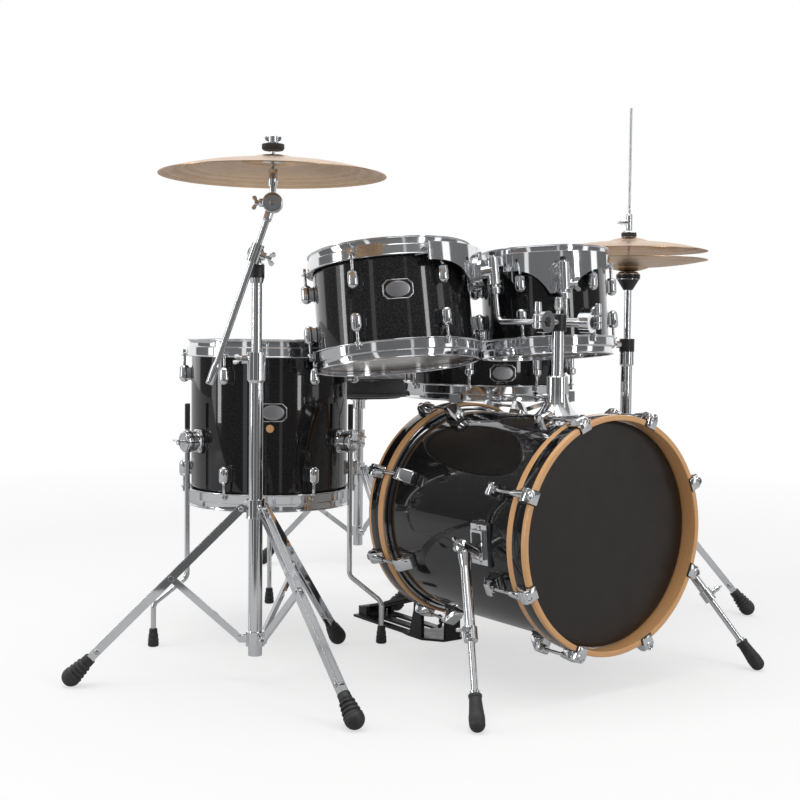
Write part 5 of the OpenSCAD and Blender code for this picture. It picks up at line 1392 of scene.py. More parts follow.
@dataclass
class BassDrum:
    """Bass drum with wooden hoops, claws and its own lugs. Its frame points out of the front head."""

    radius: float = 203.0
    depth: float = 406.0
    wall: float = 8.0
    hoop_wall: float = 10.0
    hoop_depth: float = 48.0
    hoop_lead: float = 30.5
    hoop_out: float = 13.0
    inlay: float = 24.0
    inlay_lead: float = 9.0
    claws: int = 8
    claw: float = 24.0
    lug_inset: float = 56.0
    lug_length: float = 34.0
    rod_out: float = 10.5

    def ends(self) -> List[Matrix]:
        """Returns the frames of the front end and the mirrored batter end."""
        heart = middle("bass_shell")
        return both_ends(Matrix.Translation(heart) @ turn(90, "X") @ shift(0, 0, self.depth / 2), self.depth)

    def spots(self) -> List[Matrix]:
        """Returns the frames of the claws at both ends."""
        return [end @ turn(180 / self.claws + 360 * i / self.claws) for end in self.ends() for i in range(self.claws)]

    def build(self) -> None:
        """Builds the drum."""
        self.shell()
        self.heads()
        self.hoops()
        self.lugs()
        self.hooks()

    def shell(self) -> None:
        """Turns the shell."""
        wall = Shape().lathe(shell_ring(self.radius, self.depth, self.wall), self.ends()[0], 256, True)
        wall.piece("bass_gloss_shell", "kit", LACQUER, ["bass_shell"])

    def heads(self) -> None:
        """Stretches the bare front film and the coated batter film."""
        film, band = film_side(self.radius, 8), band_side(self.radius)
        front, back = self.ends()
        Shape().lathe(film, front, 160).piece("bass_front_film", "kit", DARK_FILM, ["bass_heads"], crease=60)
        Shape().lathe(film, back, 160).piece("bass_batter_film", "kit", COATED_FILM, crease=60)
        bands = Shape().lathe(band, front, 160, True).lathe(band, back, 160, True)
        bands.piece("bass_film_bands", "kit", CHROME)

    def hoops(self) -> None:
        """Bends both wooden hoops and lays their black inlays."""
        out, lead = self.radius + self.hoop_out, self.hoop_lead
        inner, back, step = out - self.hoop_wall, lead - self.hoop_depth, self.radius + SIZES.band_out + 1
        seat, groove = -SIZES.band_top, lead - self.inlay_lead
        low, face = groove - self.inlay, out + 0.15
        section = [(inner, lead), (out, lead), (out, back), (step, back), (step, seat), (inner, seat)]
        strip = [(out - 1, groove), (face, groove), (face, low), (out - 1, low)]
        for end, name in zip(self.ends(), ("front", "batter")):
            hoop = Shape().lathe(soften(section, 2.2), end, 256, True)
            hoop.piece(f"bass_{name}_hoop", "kit", MAPLE, ["bass_hoops"] if name == "front" else [])
            inlay = Shape().lathe(soften(strip, 0.2), end, 256, True)
            inlay.piece(f"bass_{name}_inlay", "kit", INLAY, ["bass_hoop_trim"] if name == "front" else [])

    def lugs(self) -> None:
        """Casts the faceted lugs on their pads."""
        r, top, axis = self.radius, -self.lug_inset, self.radius + self.hoop_out + self.rod_out
        side = [(r + 1.5, top + 0.5), (axis - 9, top - 3), (axis + 7, top), (axis + 9, top - 6), (axis + 8, top - 16),
                (axis - 10, top - self.lug_length), (r + 1.5, top - self.lug_length)]
        lug, pad = Shape(), Shape()
        lug.plate(soften(side, 1.6, steps=2), 25, turn(90, "X") @ shift(0, 0, -12.5), 3.2)
        lug.lathe([(4.4, top - 3), (6.8, top - 1), (6.8, top + 1.2), (5.6, top + 2), (3.4, top + 2), (3.2, top - 3)],
                  shift(axis, 0, 0), 28)
        pad.block((r - 2, -13.2, top - self.lug_length - 0.8), (4, 26.4, self.lug_length + 2.2), round_off=1, ease=0.6)
        Shape().stamp(lug, self.spots()).piece("bass_lug_set", "kit", CHROME, ["bass_lugs"])
        Shape().stamp(pad, self.spots()).piece("bass_lug_pads", "kit", RUBBER)

    def hooks(self) -> None:
        """Casts the claws over rubber liners, with their key rods."""
        f, o = self.hoop_lead + 1, self.radius + self.hoop_out + 1
        inner, axis = self.radius + self.hoop_out - self.hoop_wall, self.radius + self.hoop_out + self.rod_out
        side = [(inner - 1, f), (inner - 1, f + 3.5), (o + 8, f + 3.5), (o + 15, f - 1.5), (o + 16, f - 12),
                (o + 3, f - 34), (o, f - 34), (o, f)]
        liner = [(inner - 1, f - 1), (inner - 1, f), (o, f), (o, f - 31), (o - 0.9, f - 31), (o - 0.9, f - 1)]
        hook, rubber, rod = Shape(), Shape(), Shape()
        hook.plate(soften(side, 1.8, steps=2), self.claw, turn(90, "X") @ shift(0, 0, -self.claw / 2), 1.8)
        nose = [(3.6, f - 44), (5, f - 44), (6.2, f - 36), (8, f - 18), (8, f - 10), (3.6, f - 10)]
        mouth = [(5.6, f - 6), (5.6, f + 4.0), (6.4, f + 4.6), (7.6, f + 4.6), (8.2, f + 3.4)]
        hook.lathe(nose, shift(axis, 0, 0), 32)
        hook.lathe(mouth, shift(axis - 1.5, 0, 0), 32)
        rubber.plate(liner, self.claw + 3, turn(90, "X") @ shift(0, 0, -self.claw / 2 - 1.5), 0.3)
        rod.rod((axis, 0, -self.lug_inset - 10), (axis, 0, f - 7), 6, 0.3)
        rod.lathe([(3, f - 8), (5, f - 8), (5, f - 5), (4, f - 4.4), (0, f - 4.4)], shift(axis, 0, 0), 24)
        rod.block((axis - 3, -3, f - 6), (6, 6, 9), round_off=0.6, ease=0.9)
        Shape().stamp(hook, self.spots()).piece("bass_claw_set", "kit", CHROME, ["bass_claws"])
        Shape().stamp(rubber, self.spots()).piece("bass_claw_liners", "kit", RUBBER)
        Shape().stamp(rod, self.spots()).piece("bass_claw_rods", "kit", CHROME)


# ---------- Cymbals ----------


@dataclass
class Cymbal:
    """Lathed cymbal; its frame is at its edge's height, with the bell towards +Z."""

    name: str
    body: str
    at: Matrix
    replaces: str
    rise: float
    radius: float = 178.0
    bell_radius: float = 50.0
    bell: float = 11.0
    hole: float = 5.0
    thick: float = 1.4
    bow: float = 1.7
    dome: float = 2.2

    def height(self, x: float) -> float:
        """Returns the bow's height at a distance from the middle."""
        if x > self.bell_radius:
            return self.rise * (1 - ((x - self.bell_radius) / (self.radius - self.bell_radius)) ** self.bow)
        return self.rise + self.bell * (1 - (x / self.bell_radius) ** self.dome)

    def build(self) -> None:
        """Turns the cymbal."""
        xs = [self.radius + (self.bell_radius - self.radius) * i / 40 for i in range(41)]
        xs += [self.bell_radius + (self.hole - self.bell_radius) * i / 18 for i in range(1, 19)]
        profile = [(x, self.height(x)) for x in xs] + [(x, self.height(x) + self.thick) for x in reversed(xs)]
        heart = self.at.translation
        made = Shape().lathe(profile, self.at, 224, True)
        made.piece(self.name, self.body, BRONZE, [self.replaces], origin=heart, crease=50)


# ---------- Places from the frame ----------


def joint(name: str) -> Dict[str, Any]:
    """Returns the record of a joint."""
    return next(j for j in frame["joints"] if j["name"] == name)


def pivot(name: str) -> Vector:
    """Returns a joint's place in millimetres."""
    return Vector(joint(name)["pos_m"]) / MM


def pivot_of_mount(name: str) -> Vector:
    """Returns a mount's place in millimetres."""
    return Vector(next(m for m in frame["record"]["mounts"] if m["name"] == name)["pos_m"]) / MM


# ---------- Stands ----------


@dataclass
class Tripod:
    """Folding tripod: rubber boots and rivets over its solid legs."""

    name: str
    centre: Vector
    top: float
    reach: float
    start: float
    bodies: Sequence[str] = ("kit", "kit", "kit")
    foot: float = 17.0
    hub: float = 26.0
    rail: float = 6.0
    ribs: int = 4
    pitch: float = 8.0
    boot_radius: float = 17.2

    def build(self) -> None:
        """Fits the boots and rivets of the three legs."""
        for i, body in enumerate(self.bodies):
            place = shift(self.centre.x, self.centre.y, 0) @ turn(self.start + 120 * i)
            self.boot(place, body, f"{self.name}_boot_{i + 1}")
            self.rivets(place, body, f"{self.name}_rivets_{i + 1}")

    def boot(self, place: Matrix, body: str, name: str) -> None:
        """Moulds a ribbed boot round the foot of a leg.

        Args:
            place: Frame of the tripod, turned to the leg.
            body: Body that the boot moves with.
            name: Name of the piece.
        """
        heel = Vector((self.reach, 0, self.foot))
        up = Vector((self.hub - self.reach, 0, self.top - self.foot))
        boot = Shape().ball(place @ (heel + Vector((0, 0, 0.3))), 2 * self.foot + 0.6, 40)
        side: Outline = [(0, 2)]
        for i in range(self.ribs):
            r, z = self.boot_radius - 1.1 * i, self.pitch * i
            side += [(r - 0.5, 4.6 + z), (r, 5.2 + z), (r, 7.2 + z)]
            side += [(15.8 - i, 9.15 + z), (13.9 - i, 10.1 + z), (13.8 - i, 12.1 + z)]
        side += [(11.6, 37.2), (11.4, 38.4), (10.9, 47.6), (10.2, 48.5), (0, 48.6)]
        boot.lathe(side, place @ aim(heel, up), 44)
        boot.piece(name, body, RUBBER, crease=45)

    def rivets(self, place: Matrix, body: str, name: str) -> None:
        """Heads the rivets that hold the rails together.

        Args:
            place: Frame of the tripod, turned to the leg.
            body: Body that the rivets move with.
            name: Name of the piece.
        """
        heel, top = Vector((self.reach, 0, self.foot)), Vector((self.hub, 0, self.top))
        along = (top - heel).normalized()
        rivets = Shape()
        for spot in (heel + along * 66, top):
            for s in (-1, 1):
                outer = place @ Matrix.Translation(spot + Vector((0, s * (self.rail + 1.2), 0))) @ turn(-90 * s, "X")
                rivets.lathe([(5.2, 0), (5.2, 1.1), (4.4, 2.1), (2.4, 2.9), (0, 3.1)], outer, 24)
        rivets.piece(name, body, STEEL)


@dataclass
class Boom:
    """Boom arm with its grip, toothed tilter, sleeve, felts and wing nut."""

    rod: float = 11.0
    tail: float = 245.0
    nose: float = 94.0
    drop: float = 83.0
    direction: float = -35.5
    offset: float = 26.0
    teeth: int = 36

    def build(self) -> None:
        """Builds the boom in place of its solid."""
        heart, along = pivot("boom_tilt"), Vector(joint("boom_extend")["axis"])
        arm = aim(heart, along)
        tilter = Matrix.Translation(pivot("crash_rock")) @ turn(self.direction)
        metal, felt, tips = Shape(), Shape(), Shape()
        r, tail, nose = self.rod / 2, -self.tail, self.nose
        grip = [(0, tail - 2), (r + 1.4, tail - 2), (r + 2, tail - 1), (r + 2, tail + 30), (r + 1.4, tail + 33)]
        metal.lathe(grip + [(r, tail + 40), (r, nose - 14)], arm, 40)
        metal.lathe([(r, nose - 34), (r + 2.5, nose - 32), (r + 2.5, nose - 12), (r + 1, nose - 9)], arm, 36)
        self.joint_discs(metal, tilter @ shift(0, 0, -self.drop))
        sleeve = [(6, -self.drop), (6, -56), (8.5, -50), (8.5, -26), (7.6, -24), (4, -24)]
        nut = [(4, 20.2), (11, 20.2), (11.6, 21.2), (11, 23), (8.6, 23.4), (8.6, 33.6), (7.4, 35), (4, 35)]
        metal.lathe(sleeve + [(4, 36), (3.4, 36.6), (0, 36.6)], tilter, 36)
        metal.lathe([(4, -13), (19, -13), (20, -12.4), (20, -11.2), (4, -11.2)], tilter, 56, True)
        metal.lathe(nut, tilter, 32)
        half = [(4, 0), (7, 1.4), (13, 3.6), (15.4, 7), (14.6, 10.4), (11.6, 11.4), (8, 9.4), (5, 7.4)]
        at = tilter @ shift(0, -2, 22.6) @ turn(90, "X") @ shift(0, 0, -4)
        tips.plate(soften(mirrored(half, (0, 6.6)), 2.0, steps=2), 4, at, 1.2)
        for low, high, r_low, r_high in ((-11, -5, 20, 20), (-5, -0.9, 20, 14.5), (8.8, 12, 17, 20), (12, 20, 20, 20)):
            felt.lathe(soften([(4.2, low), (r_low, low), (r_high, high), (4.2, high)], 1.0, steps=2), tilter, 48, True)
        metal.piece("boom_metal", "boom", CHROME, ["boom_arm"])
        top = Matrix.Translation(heart - Vector(joint("boom_tilt")["axis"]) * self.offset)
        bush = [(9.6, -50.4), (12.6, -43.4), (13.8, -42), (13.8, -19.6), (13.2, -18.6), (9.6, -18.6)]
        Shape().lathe(bush, top, 40, True).piece("stand_top_bush", "crash_tube", NYLON)
        felt.piece("boom_felts", "boom", FELT)
        tips.piece("crash_wing_nut", "boom", CHROME)

    def joint_discs(self, metal: Shape, at: Matrix) -> None:
        """Cuts two toothed discs, face to face, and sets their wing bolt.

        Args:
            metal: Takes the shapes.
            at: Frame at the middle of the joint.
        """
        flat = at @ turn(90, "X")
        for low, high in ((-12.8, -1.2), (0.2, 11.8)):
            disc = [(0.1, low), (15.4, low), (18, low + 2.6), (18, high - 1.4), (16.4, high), (0.1, high)]
            metal.lathe(soften(disc, 1.2, steps=2), flat, 56, True)
        for i in range(self.teeth):
            spoke = flat @ turn(360 / self.teeth * i)
            metal.rod(spoke @ Vector((12.0, 0, -0.6)), spoke @ Vector((17.4, 0, -0.6)), 1.6, 0.2, 8)
        metal.rod(flat @ Vector((0, 0, -16)), flat @ Vector((0, 0, 16)), 10, 1)
        metal.rod(at @ Vector((0, 0, 0)), at @ Vector((-24, 0, 0)), 15, 1)
        metal.wing_bolt(at @ turn(-90, "Y") @ turn(25) @ shift(0, 0, 15), 10)


@dataclass
class HiHat:
    """Black seat cup, felts, clutch knurl and clamp sleeve of the hi-hat."""

    cup: float = 743.0
    seat: float = 784.8
    clamp: float = 631.0
    ridges: int = 28

    def build(self) -> None:
        """Builds the dressings round the pull rod."""
        x, y, _ = pivot_of_mount("hihat_rod_top")
        at = shift(x, y, 0)
        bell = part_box("hihat_top_cymbal")[1].z / MM
        foot, top = self.cup, self.seat - 0.15
        cone = [(4.6, foot - 0.3), (10.4, foot - 0.3), (25.3, foot + 24), (27.3, foot + 25), (27.3, foot + 35.6)]
        cup = Shape().lathe(soften(cone + [(20.3, top), (4.6, top)], 1.4, steps=3), at, 64, True)
        for i in range(3):
            low = foot + 27.4 + 3 * i
            cup.lathe([(27, low), (27.8, low + 0.5), (27, low + 1.0)], at, 64)
        cup.piece("hihat_seat_cup", "kit", NYLON)
        side = [(4, bell + 0.1), (17.3, bell + 0.1), (17.3, bell + 10.9), (4, bell + 10.9)]
        Shape().lathe(soften(side, 1.6), at, 48, True).piece("hihat_clutch_felts", "hihat_rod", FELT)
        high, low = self.clamp + 0.4, self.clamp - 29.8
        sleeve = [(8.8, high), (16.2, high), (17.2, high - 1), (17.2, low + 0.8), (16.4, low), (8.8, low)]
        Shape().lathe(sleeve, at, 44, True).piece("hihat_clamp_sleeve", "kit", NYLON)
        knurl = Shape()
        for i in range(self.ridges):
            ridge = at @ turn(360 / self.ridges * i)
            knurl.rod(ridge @ Vector((12, 0, bell + 11.4)), ridge @ Vector((12, 0, bell + 13.8)), 1.6, 0.3, 8)
        knurl.piece("hihat_clutch_knurl", "hihat_rod", CHROME)


@dataclass
class Holder:
    """Black balls of the tom holder, its memory locks and rod caps."""

    ball: float = 26.3
    hub: float = 663.0
    foot: float = 43.0

    def build(self) -> None:
        """Fits both balls and the caps of the tom rods."""
        x, y, z = middle("bass_shell").x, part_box("tom_mount_base")[0].y / MM + self.foot, self.hub
        hub = [(11.2, z - 17), (14.4, z - 17), (15.4, z - 16), (15.4, z + 14.4), (14.6, z + 15.3), (9, z + 15.3)]
        Shape().lathe(hub, shift(x, y, 0), 40).piece("tom_post_hub", "tom_holder", NYLON)
        for name in ("big_tom", "small_tom"):
            spot = pivot(f"{name}_tilt")
            Shape().ball(spot, self.ball, 48).piece(f"{name}_holder_ball", f"{name}_arm", NYLON)
            clamp, up = pivot(f"{name}_swivel"), Vector(joint(f"{name}_swivel")["axis"])
            lock = aim(clamp, up)
            collar = [(5.5, -44), (9.4, -44), (10, -43.2), (10, -33), (9.4, -32.2), (5.5, -32.2)]
            Shape().lathe(collar, lock, 36, True).piece(f"{name}_memory_lock", f"{name}_arm", CHROME)
            cap = Shape().lathe([(5.2, 30), (5.7, 30.6), (5.7, 36.4), (4.6, 37.4), (0, 37.6)], lock, 28)
            cap.piece(f"{name}_rod_cap", f"{name}_arm", NYLON)


@dataclass
class Spur:
    """Rubber foot and lock nut of one spur, and the gasket, screws and black plate of its seat; the black plate is
    painted shade where the seat's hole is.
    """

    side: Side
    foot: float = 13.0
    gasket: Point = (80.0, 51.0, 5.9)
    shade_plate: Point = (44.0, 26.0, 1.3)
    # Size of the black plate that stands for the shade inside the seat's hole: painted shade.
    screw_out: float = 31.0

    def build(self) -> None:
        """Builds the foot along the spur's sliding direction."""
        word = self.side.name.lower()
        down = Vector(joint(f"spur_{word}_extend")["axis"])
        low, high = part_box(f"spur_{word}_rod")
        x = (low.x if self.side is Side.LEFT else high.x) / MM - self.side.value * self.foot
        heart = Vector((x, low.y / MM + self.foot, self.foot))
        r = self.foot + 0.25
        at = aim(heart, -down)
        side = [(0, 1), (r, 1), (r + 0.3, 8), (r + 0.2, 12), (12.6, 18), (11.75, 26), (10.95, 36), (10.35, 44)]
        boot = Shape().lathe(side + [(11.4, 45.2), (11.4, 49.8), (10.4, 50.5), (6.1, 50.6)], at, 44)
        boot.ball(heart + Vector((0, 0, 0.25)), 2 * self.foot + 0.5, 40)
        boot.piece(f"spur_{word}_boot", f"spur_{word}_foot", RUBBER, crease=40)
        tip = Shape().lathe([(6.1, 50.4), (8.6, 50.8), (8.8, 55.4), (7.8, 56.4), (6.1, 56.4)], at, 32, True)
        tip.piece(f"spur_{word}_lock_nut", f"spur_{word}_foot", CHROME)
        self.seat(word)

    def seat(self, word: str) -> None:
        """Lays the seat's gasket, its screws, and a black plate of painted shade where the seat's hole is, on the
        shell.

        Args:
            word: Side of the spur, in small letters.
        """
        hinge, shell = pivot(f"spur_{word}_fold"), middle("bass_shell")
        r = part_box("bass_shell")[1].z / MM - shell.z
        low = math.degrees(math.atan2(shell.z - hinge.z, abs(hinge.x - shell.x)))
        at = shift(shell.x, hinge.y, shell.z) @ turn(low if self.side is Side.RIGHT else 180 - low, "Y")
        out, (x, y, _), (u, v, _) = at @ turn(90, "Y"), self.gasket, self.shade_plate
        gasket = Shape().block((-x / 2, -y / 2, r - 4.4), self.gasket, out, 5, 1.2)
        gasket.piece(f"spur_{word}_gasket", "kit", RUBBER)
        screws = Shape()
        for s in (-1, 1):
            head = [(0, r + 5), (5.2, r + 5), (5.2, r + 7.4), (4.2, r + 8.8), (0, r + 9.4)]
            screws.lathe(head, out @ shift(self.screw_out * s, 0, 0), 24)
        screws.piece(f"spur_{word}_seat_screws", "kit", CHROME)
        # Black plate on the seat's face: painted shade where the seat's hole is, not a cut recess.
        shade_plate = Shape().block((-u / 2, -v / 2, r + 11), self.shade_plate, out, 4, 0.4)
        shade_plate.piece(f"spur_{word}_seat_pocket", "kit", NYLON)


@dataclass
class Pedals:
    """Chain, spring and beater of the bass pedal, and the treads of both pedals."""

    axle: float = 215.0
    board: float = 270.0
    slope: float = 17.0
    width: float = 78.0
    lean: float = 24.0
    stem: float = 165.0
    half: float = 25.0
    strike: float = 21.21
    links: int = 12
    link: float = 8.4
    ribs: int = 9
    rib_gap: float = 20.0

    def post(self) -> float:
        """Returns how far the pedal's posts stand from its middle."""
        return self.width / 2 + 9

    def build(self) -> None:
        """Builds the bass pedal's chain and spring, then the treads of both boards."""
        axle = pivot("beater_swing")
        spring = Shape()
        at = shift(axle.x + self.post() + 9, axle.y + 6, 0)
        spring.coil(at @ shift(0, 0, 93), 14.2, 2.2, 80, 17)
        spring.lathe([(2.4, 172), (4, 172), (5, 174), (5, 178), (4, 180), (2.4, 180)], at, 24, True)
        spring.piece("pedal_spring", "kit", STEEL)
        self.chain()
        self.beater(axle)
        for name, body, slope in (("pedal", "pedal_board", self.slope), ("hihat", "hihat_board", 19.0)):
            self.tread(name, body, slope)

    def hinge(self, name: str, slope: float) -> Matrix:
        """Returns the frame of a footboard: its hinge, with the toe along +X."""
        if name == "pedal":
            return Matrix.Translation(pivot("pedal_footboard")) @ turn(-90) @ turn(-slope, "Y")
        return Matrix.Translation(pivot("hihat_footboard")) @ turn(-42) @ turn(-slope, "Y")

    def beater(self, axle: Vector) -> None:
        """Builds the axle, wheel, stem and felt head that swing together.

        Args:
            axle: Middle of the axle.
        """
        at = shift(axle.x, axle.y, self.axle) @ turn(90)
        post, wheel, metal, felt = self.post(), Shape(), Shape(), Shape()
        across = at @ turn(90, "X")
        end = [(0, -post - 10), (4.4, -post - 10), (5, -post - 9.4), (5, 6.3 - post)]
        metal.lathe(end + [(8.5, 6.3 - post), (8.5, -10)], across, 40)
        knob = [(10, post + 6.3), (11, post + 7.3), (11, post + 11), (10, post + 12), (0, post + 12)]
        metal.lathe([(8.5, 10), (8.5, post - 6.3), (5, post - 6.3), (5, post + 6.3)] + knob, across, 40)
        groove = [(8.4, -10), (20, -10), (20, -6), (16, -5.2), (16, 5.2), (20, 6), (20, 10), (8.4, 10)]
        wheel.lathe(soften(groove, 0.7), across, 72, True)
        arm = at @ turn(self.lean, "Y")
        metal.block((-7, -8, 12), (7, 8, 38), arm, 1.4)
        metal.rod(arm @ Vector((0, 0, 0)), arm @ Vector((0, 0, self.stem - 18)), 8, 0.6, 28)
        screw = [(0, 0), (4.2, 0), (4.2, 3.4), (3.6, 4), (2.4, 4), (2.4, 2), (0, 2)]
        metal.lathe(screw, arm @ shift(7, 0, 25) @ turn(90, "Y"), 6)
        head, h = arm @ shift(0, 0, self.stem) @ turn(90 + self.strike, "Y"), self.half
        side = [(0.1, -h), (19, -h), (22.5, 4 - h), (22.5, h - 4), (19, h), (0.1, h)]
        felt.lathe(soften(side, 1.6), head, 56)
        metal.piece("beater_stem", "beater", CHROME, ["pedal_beater"])
        wheel.piece("pedal_wheel", "beater", BLACK_COAT)
        felt.piece("beater_felt", "beater", PALE_FELT)

    def chain(self) -> None:
        """Links a roller chain from the board's toe to the cam."""
        at = self.hinge("pedal", self.slope) @ shift(self.board - 18, 0, 6) @ turn(self.slope, "Y") @ shift(1.5, 0, 0)
        links = Shape()
        for i in range(self.links):
            z = 4 + self.link * i
            wide = 5.6 if i % 2 else 6.8
            for s in (-1, 1):
                middle_of = at @ shift(0, s * wide - 0.5, z + self.link / 2)
                side = middle_of @ turn(90, "X") @ turn(90) @ shift(0, 0, -0.5)
                links.plate(oblong(5.2, 2.6, 2.4), 1.1, side, 0.2)
            links.rod(at @ Vector((0, -7.6, z)), at @ Vector((0, 7.6, z)), 3.6, 0.4, 16)
        links.piece("pedal_chain", "pedal_board", STEEL)

    def tread(self, name: str, body: str, slope: float) -> None:
        """Raises ribs on a footboard.

        Args:
            name: Name of the pedal.
            body: Body of the board.
            slope: Angle of the board at rest.
        """
        at = self.hinge(name, slope)
        ribs = Shape()
        for i in range(self.ribs):
            x = 46 + self.rib_gap * i
            half = 24 if x < 80 or x > 220 else 30
            for s in (-1, 1):
                ribs.rod(at @ Vector((x, s * (half - 1), 8.1)), at @ Vector((x, s * 7, 8.1)), 2.6, 0.6, 10)
        ribs.piece(f"{name}_tread", body, RUBBER)


def upright(name: str, top: bool = False, drop: float = 0.0) -> Matrix:
    """Returns the upright frame in the middle of a solid's underside, or of its top less a drop."""
    low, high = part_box(name)
    return shift((low.x + high.x) / 2 / MM, (low.y + high.y) / 2 / MM, (high if top else low).z / MM - drop)


def kit() -> List[Any]:
    """Lists the sub-assemblies in building order."""
    hats = "hihat_bottom_cymbal", "hihat_top_cymbal"
    stand = sum((pivot(f"stand_brace_{i}_fold") for i in (1, 2, 3)), Vector()) / 3
    return [
        BassDrum(),
        Drum("big_tom", "big_tom", radius=152.5, depth=203, lugs=6, lug_start=330, tilt=9, shell_finish=SPARKLE,
             badge=Badge(angle=-121.2, height=-86)),
        Drum("small_tom", "small_tom", radius=127, depth=190, lugs=6, lug_start=270, tilt=5),
        FloorTom("floor_tom", "kit", radius=165, depth=323, lugs=6, lug_start=30,
                 badge=Badge(angle=-117.5, height=-134), vent=(-119.5, 166.5 / 323), vent_finish=MAPLE),
        Snare("snare", "snare", radius=178, depth=140, lugs=8, lug_start=39,
              badge=Badge(angle=-118.6, height=-90), vent=(286.5, 0.5), tube_lug=True),
        Cymbal("crash_bronze", "crash", upright("crash_cymbal"), "crash_cymbal",
               radius=201, bell_radius=58, rise=24, bell=12, hole=6),
        Cymbal("hihat_bottom_bronze", "kit", upright(hats[0], top=True) @ MIRROR, hats[0], rise=15),
        Cymbal("hihat_top_bronze", "hihat_rod", upright(hats[1]), hats[1], rise=20),
        Holder(),
        Spur(Side.LEFT),
        Spur(Side.RIGHT),
        Tripod("cymbal_stand", stand, top=320, reach=328, start=30, bodies=[f"stand_leg_{i}" for i in (1, 2, 3)]),
        Boom(),
        Tripod("hihat_stand", pivot_of_mount("hihat_rod_top"), top=330, reach=283, start=-42),
        HiHat(),
        Tripod("snare_stand", pivot("snare_tilt"), top=230, reach=205, start=30),
        Tripod("throne", pivot("seat_turn"), top=270, reach=262, start=20),
        Pedals(),
        Throne(),
    ]


# ---------- Drum throne ----------


@dataclass
class Throne:
    """Round seat that turns on its tripod: a padded top, a side band and two rows of piping."""

    thick: float = 78.0
    pad_room: float = 12.0
    mesh_size: float = 0.006
    loose: float = 0.036
    fade: float = 0.01
    swelling: float = 0.011
    pressure: float = 4.0
    steps: int = 20

    def build(self) -> None:
        """Builds the seat in place of its plain solid."""
        low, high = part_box("throne_seat")
        radius = (high.x - low.x) / 2 / MM
        at = upright("throne_seat", top=True, drop=self.thick)
        self.cushion(at, radius)
        self.trim(at, radius)
        self.plate(at, radius)

    def cushion(self, at: Matrix, radius: float) -> None:
        """Shapes the pad, then lets it swell under pressure.

        Args:
            at: Frame at the middle of the pad's underside.
            radius: Radius of the seat.
        """
        r, t, room = radius - 3, self.thick, self.pad_room
        side = [(0, 1), (r - 16, 1), (r - 6, 4), (r - 2, 12), (r - 2, t - 34), (r - 3, t - 27), (r - 12, t - room - 6),
                (r - 26, t - room), (r * 0.6, t - room + 2), (r * 0.3, t - room + 3.5), (0, t - room + 4)]
        pad = Shape().lathe(soften(side, 6, closed=False, steps=4), at, 96)
        heart = at @ Vector((0, 0, t / 2))
        made = pad.piece("throne_cushion", "seat", VINYL, ["throne_seat"], origin=heart, crease=180)
        self.swell(made)

    def swell(self, pad: bpy.types.Object) -> None:
        """Runs the pressure simulation on the pad and keeps its result.

        Args:
            pad: The cushion.
        """
        scene = bpy.context.scene
        bpy.context.view_layer.objects.active = pad
        grid = pad.modifiers.new("Even mesh", "REMESH")
        grid.mode, grid.voxel_size = "VOXEL", self.mesh_size
        self._apply(pad)
        start = [v.co.copy() for v in pad.data.vertices]
        half = self.thick * MM / 2
        held = pad.vertex_groups.new(name="held")
        for v in pad.data.vertices:
            share = min(1.0, max(0.0, (half - self.loose - v.co.z) / self.fade))
            if share > 0:
                held.add([v.index], share, "REPLACE")
        cloth = pad.modifiers.new("Cover", "CLOTH")
        cloth.settings.use_pressure = True
        cloth.settings.uniform_pressure_force = self.pressure
        cloth.settings.effector_weights.gravity = 0.0
        cloth.settings.vertex_group_mass = held.name
        cloth.settings.tension_stiffness = 12.0
        cloth.settings.bending_stiffness = 2.0
        for step in range(1, self.steps + 1):
            scene.frame_set(step)
        self._apply(pad)
        for v, was in zip(pad.data.vertices, start):
            move = v.co - was
            if move.length > self.swelling:
                v.co = was + move * (self.swelling / move.length)
        scene.frame_set(1)
        ease = pad.modifiers.new("Smooth cover", "SUBSURF")
        ease.levels = ease.render_levels = 1
        self._apply(pad)
        for face in pad.data.polygons:
            face.use_smooth = True

    @staticmethod
    def _apply(pad: bpy.types.Object) -> None:
        """Bakes the pad's modifiers into its mesh.

        Args:
            pad: The cushion.
        """
        graph = bpy.context.evaluated_depsgraph_get()
        mesh = bpy.data.meshes.new_from_object(pad.evaluated_get(graph))
        old = pad.data
        pad.modifiers.clear()
        pad.data = mesh
        bpy.data.meshes.remove(old)

    def trim(self, at: Matrix, radius: float) -> None:
        """Runs piping round both edges of the side band, and a row of stitches under it.

        Args:
            at: Frame at the middle of the pad's underside.
            radius: Radius of the seat.
        """
        piping, stitches = Shape(), Shape()
        for z, inset in ((self.thick - 27, 1.9), (9.0, 2.4)):
            loop = [at @ Vector((x, y, z)) for x, y in ring_of(radius - inset, 144)]
            piping.sweep(loop + loop[:1], 4.2, 10, caps=False)
        piping.piece("throne_piping", "seat", PIPING)
        for i in range(180):
            a, r = 2 * math.pi * i / 180, radius - 1.35
            ends = [at @ Vector((r * math.cos(t), r * math.sin(t), self.thick - 32)) for t in (a, a + 0.022)]
            stitches.rod(*ends, 0.8, 0.2, 6)
        stitches.piece("throne_stitches", "seat", THREAD)

    def plate(self, at: Matrix, radius: float) -> None:
        """Adds the wooden board, the steel plate and the bearing hub under the pad.

        Args:
            at: Frame at the middle of the pad's underside.
            radius: Radius of the seat.
        """
        r = radius * 0.7
        board = Shape().lathe([(20, -4), (r - 1, -4), (r, -3), (r, 1.5), (20, 1.5)], at, 96, True)
        board.piece("throne_board", "seat", NYLON)
        hub = Shape().lathe([(8.2, -11.5), (21.5, -11.5), (23, -10), (23, -5), (20, -3.4), (8.2, -3.4)], at, 56, True)
        for i in range(4):
            hub.lathe([(0, -6.6), (3.6, -6.6), (4.6, -5.6), (4.6, -4.0)], at @ turn(90 * i + 45) @ shift(34, 0, 0), 20)
        hub.lathe([(23, -5.6), (46, -5.6), (48, -4.6), (48, -3.8), (23, -3.8)], at, 72, True)
        hub.piece("throne_hub", "seat", CHROME)


# ---------- Studio ----------


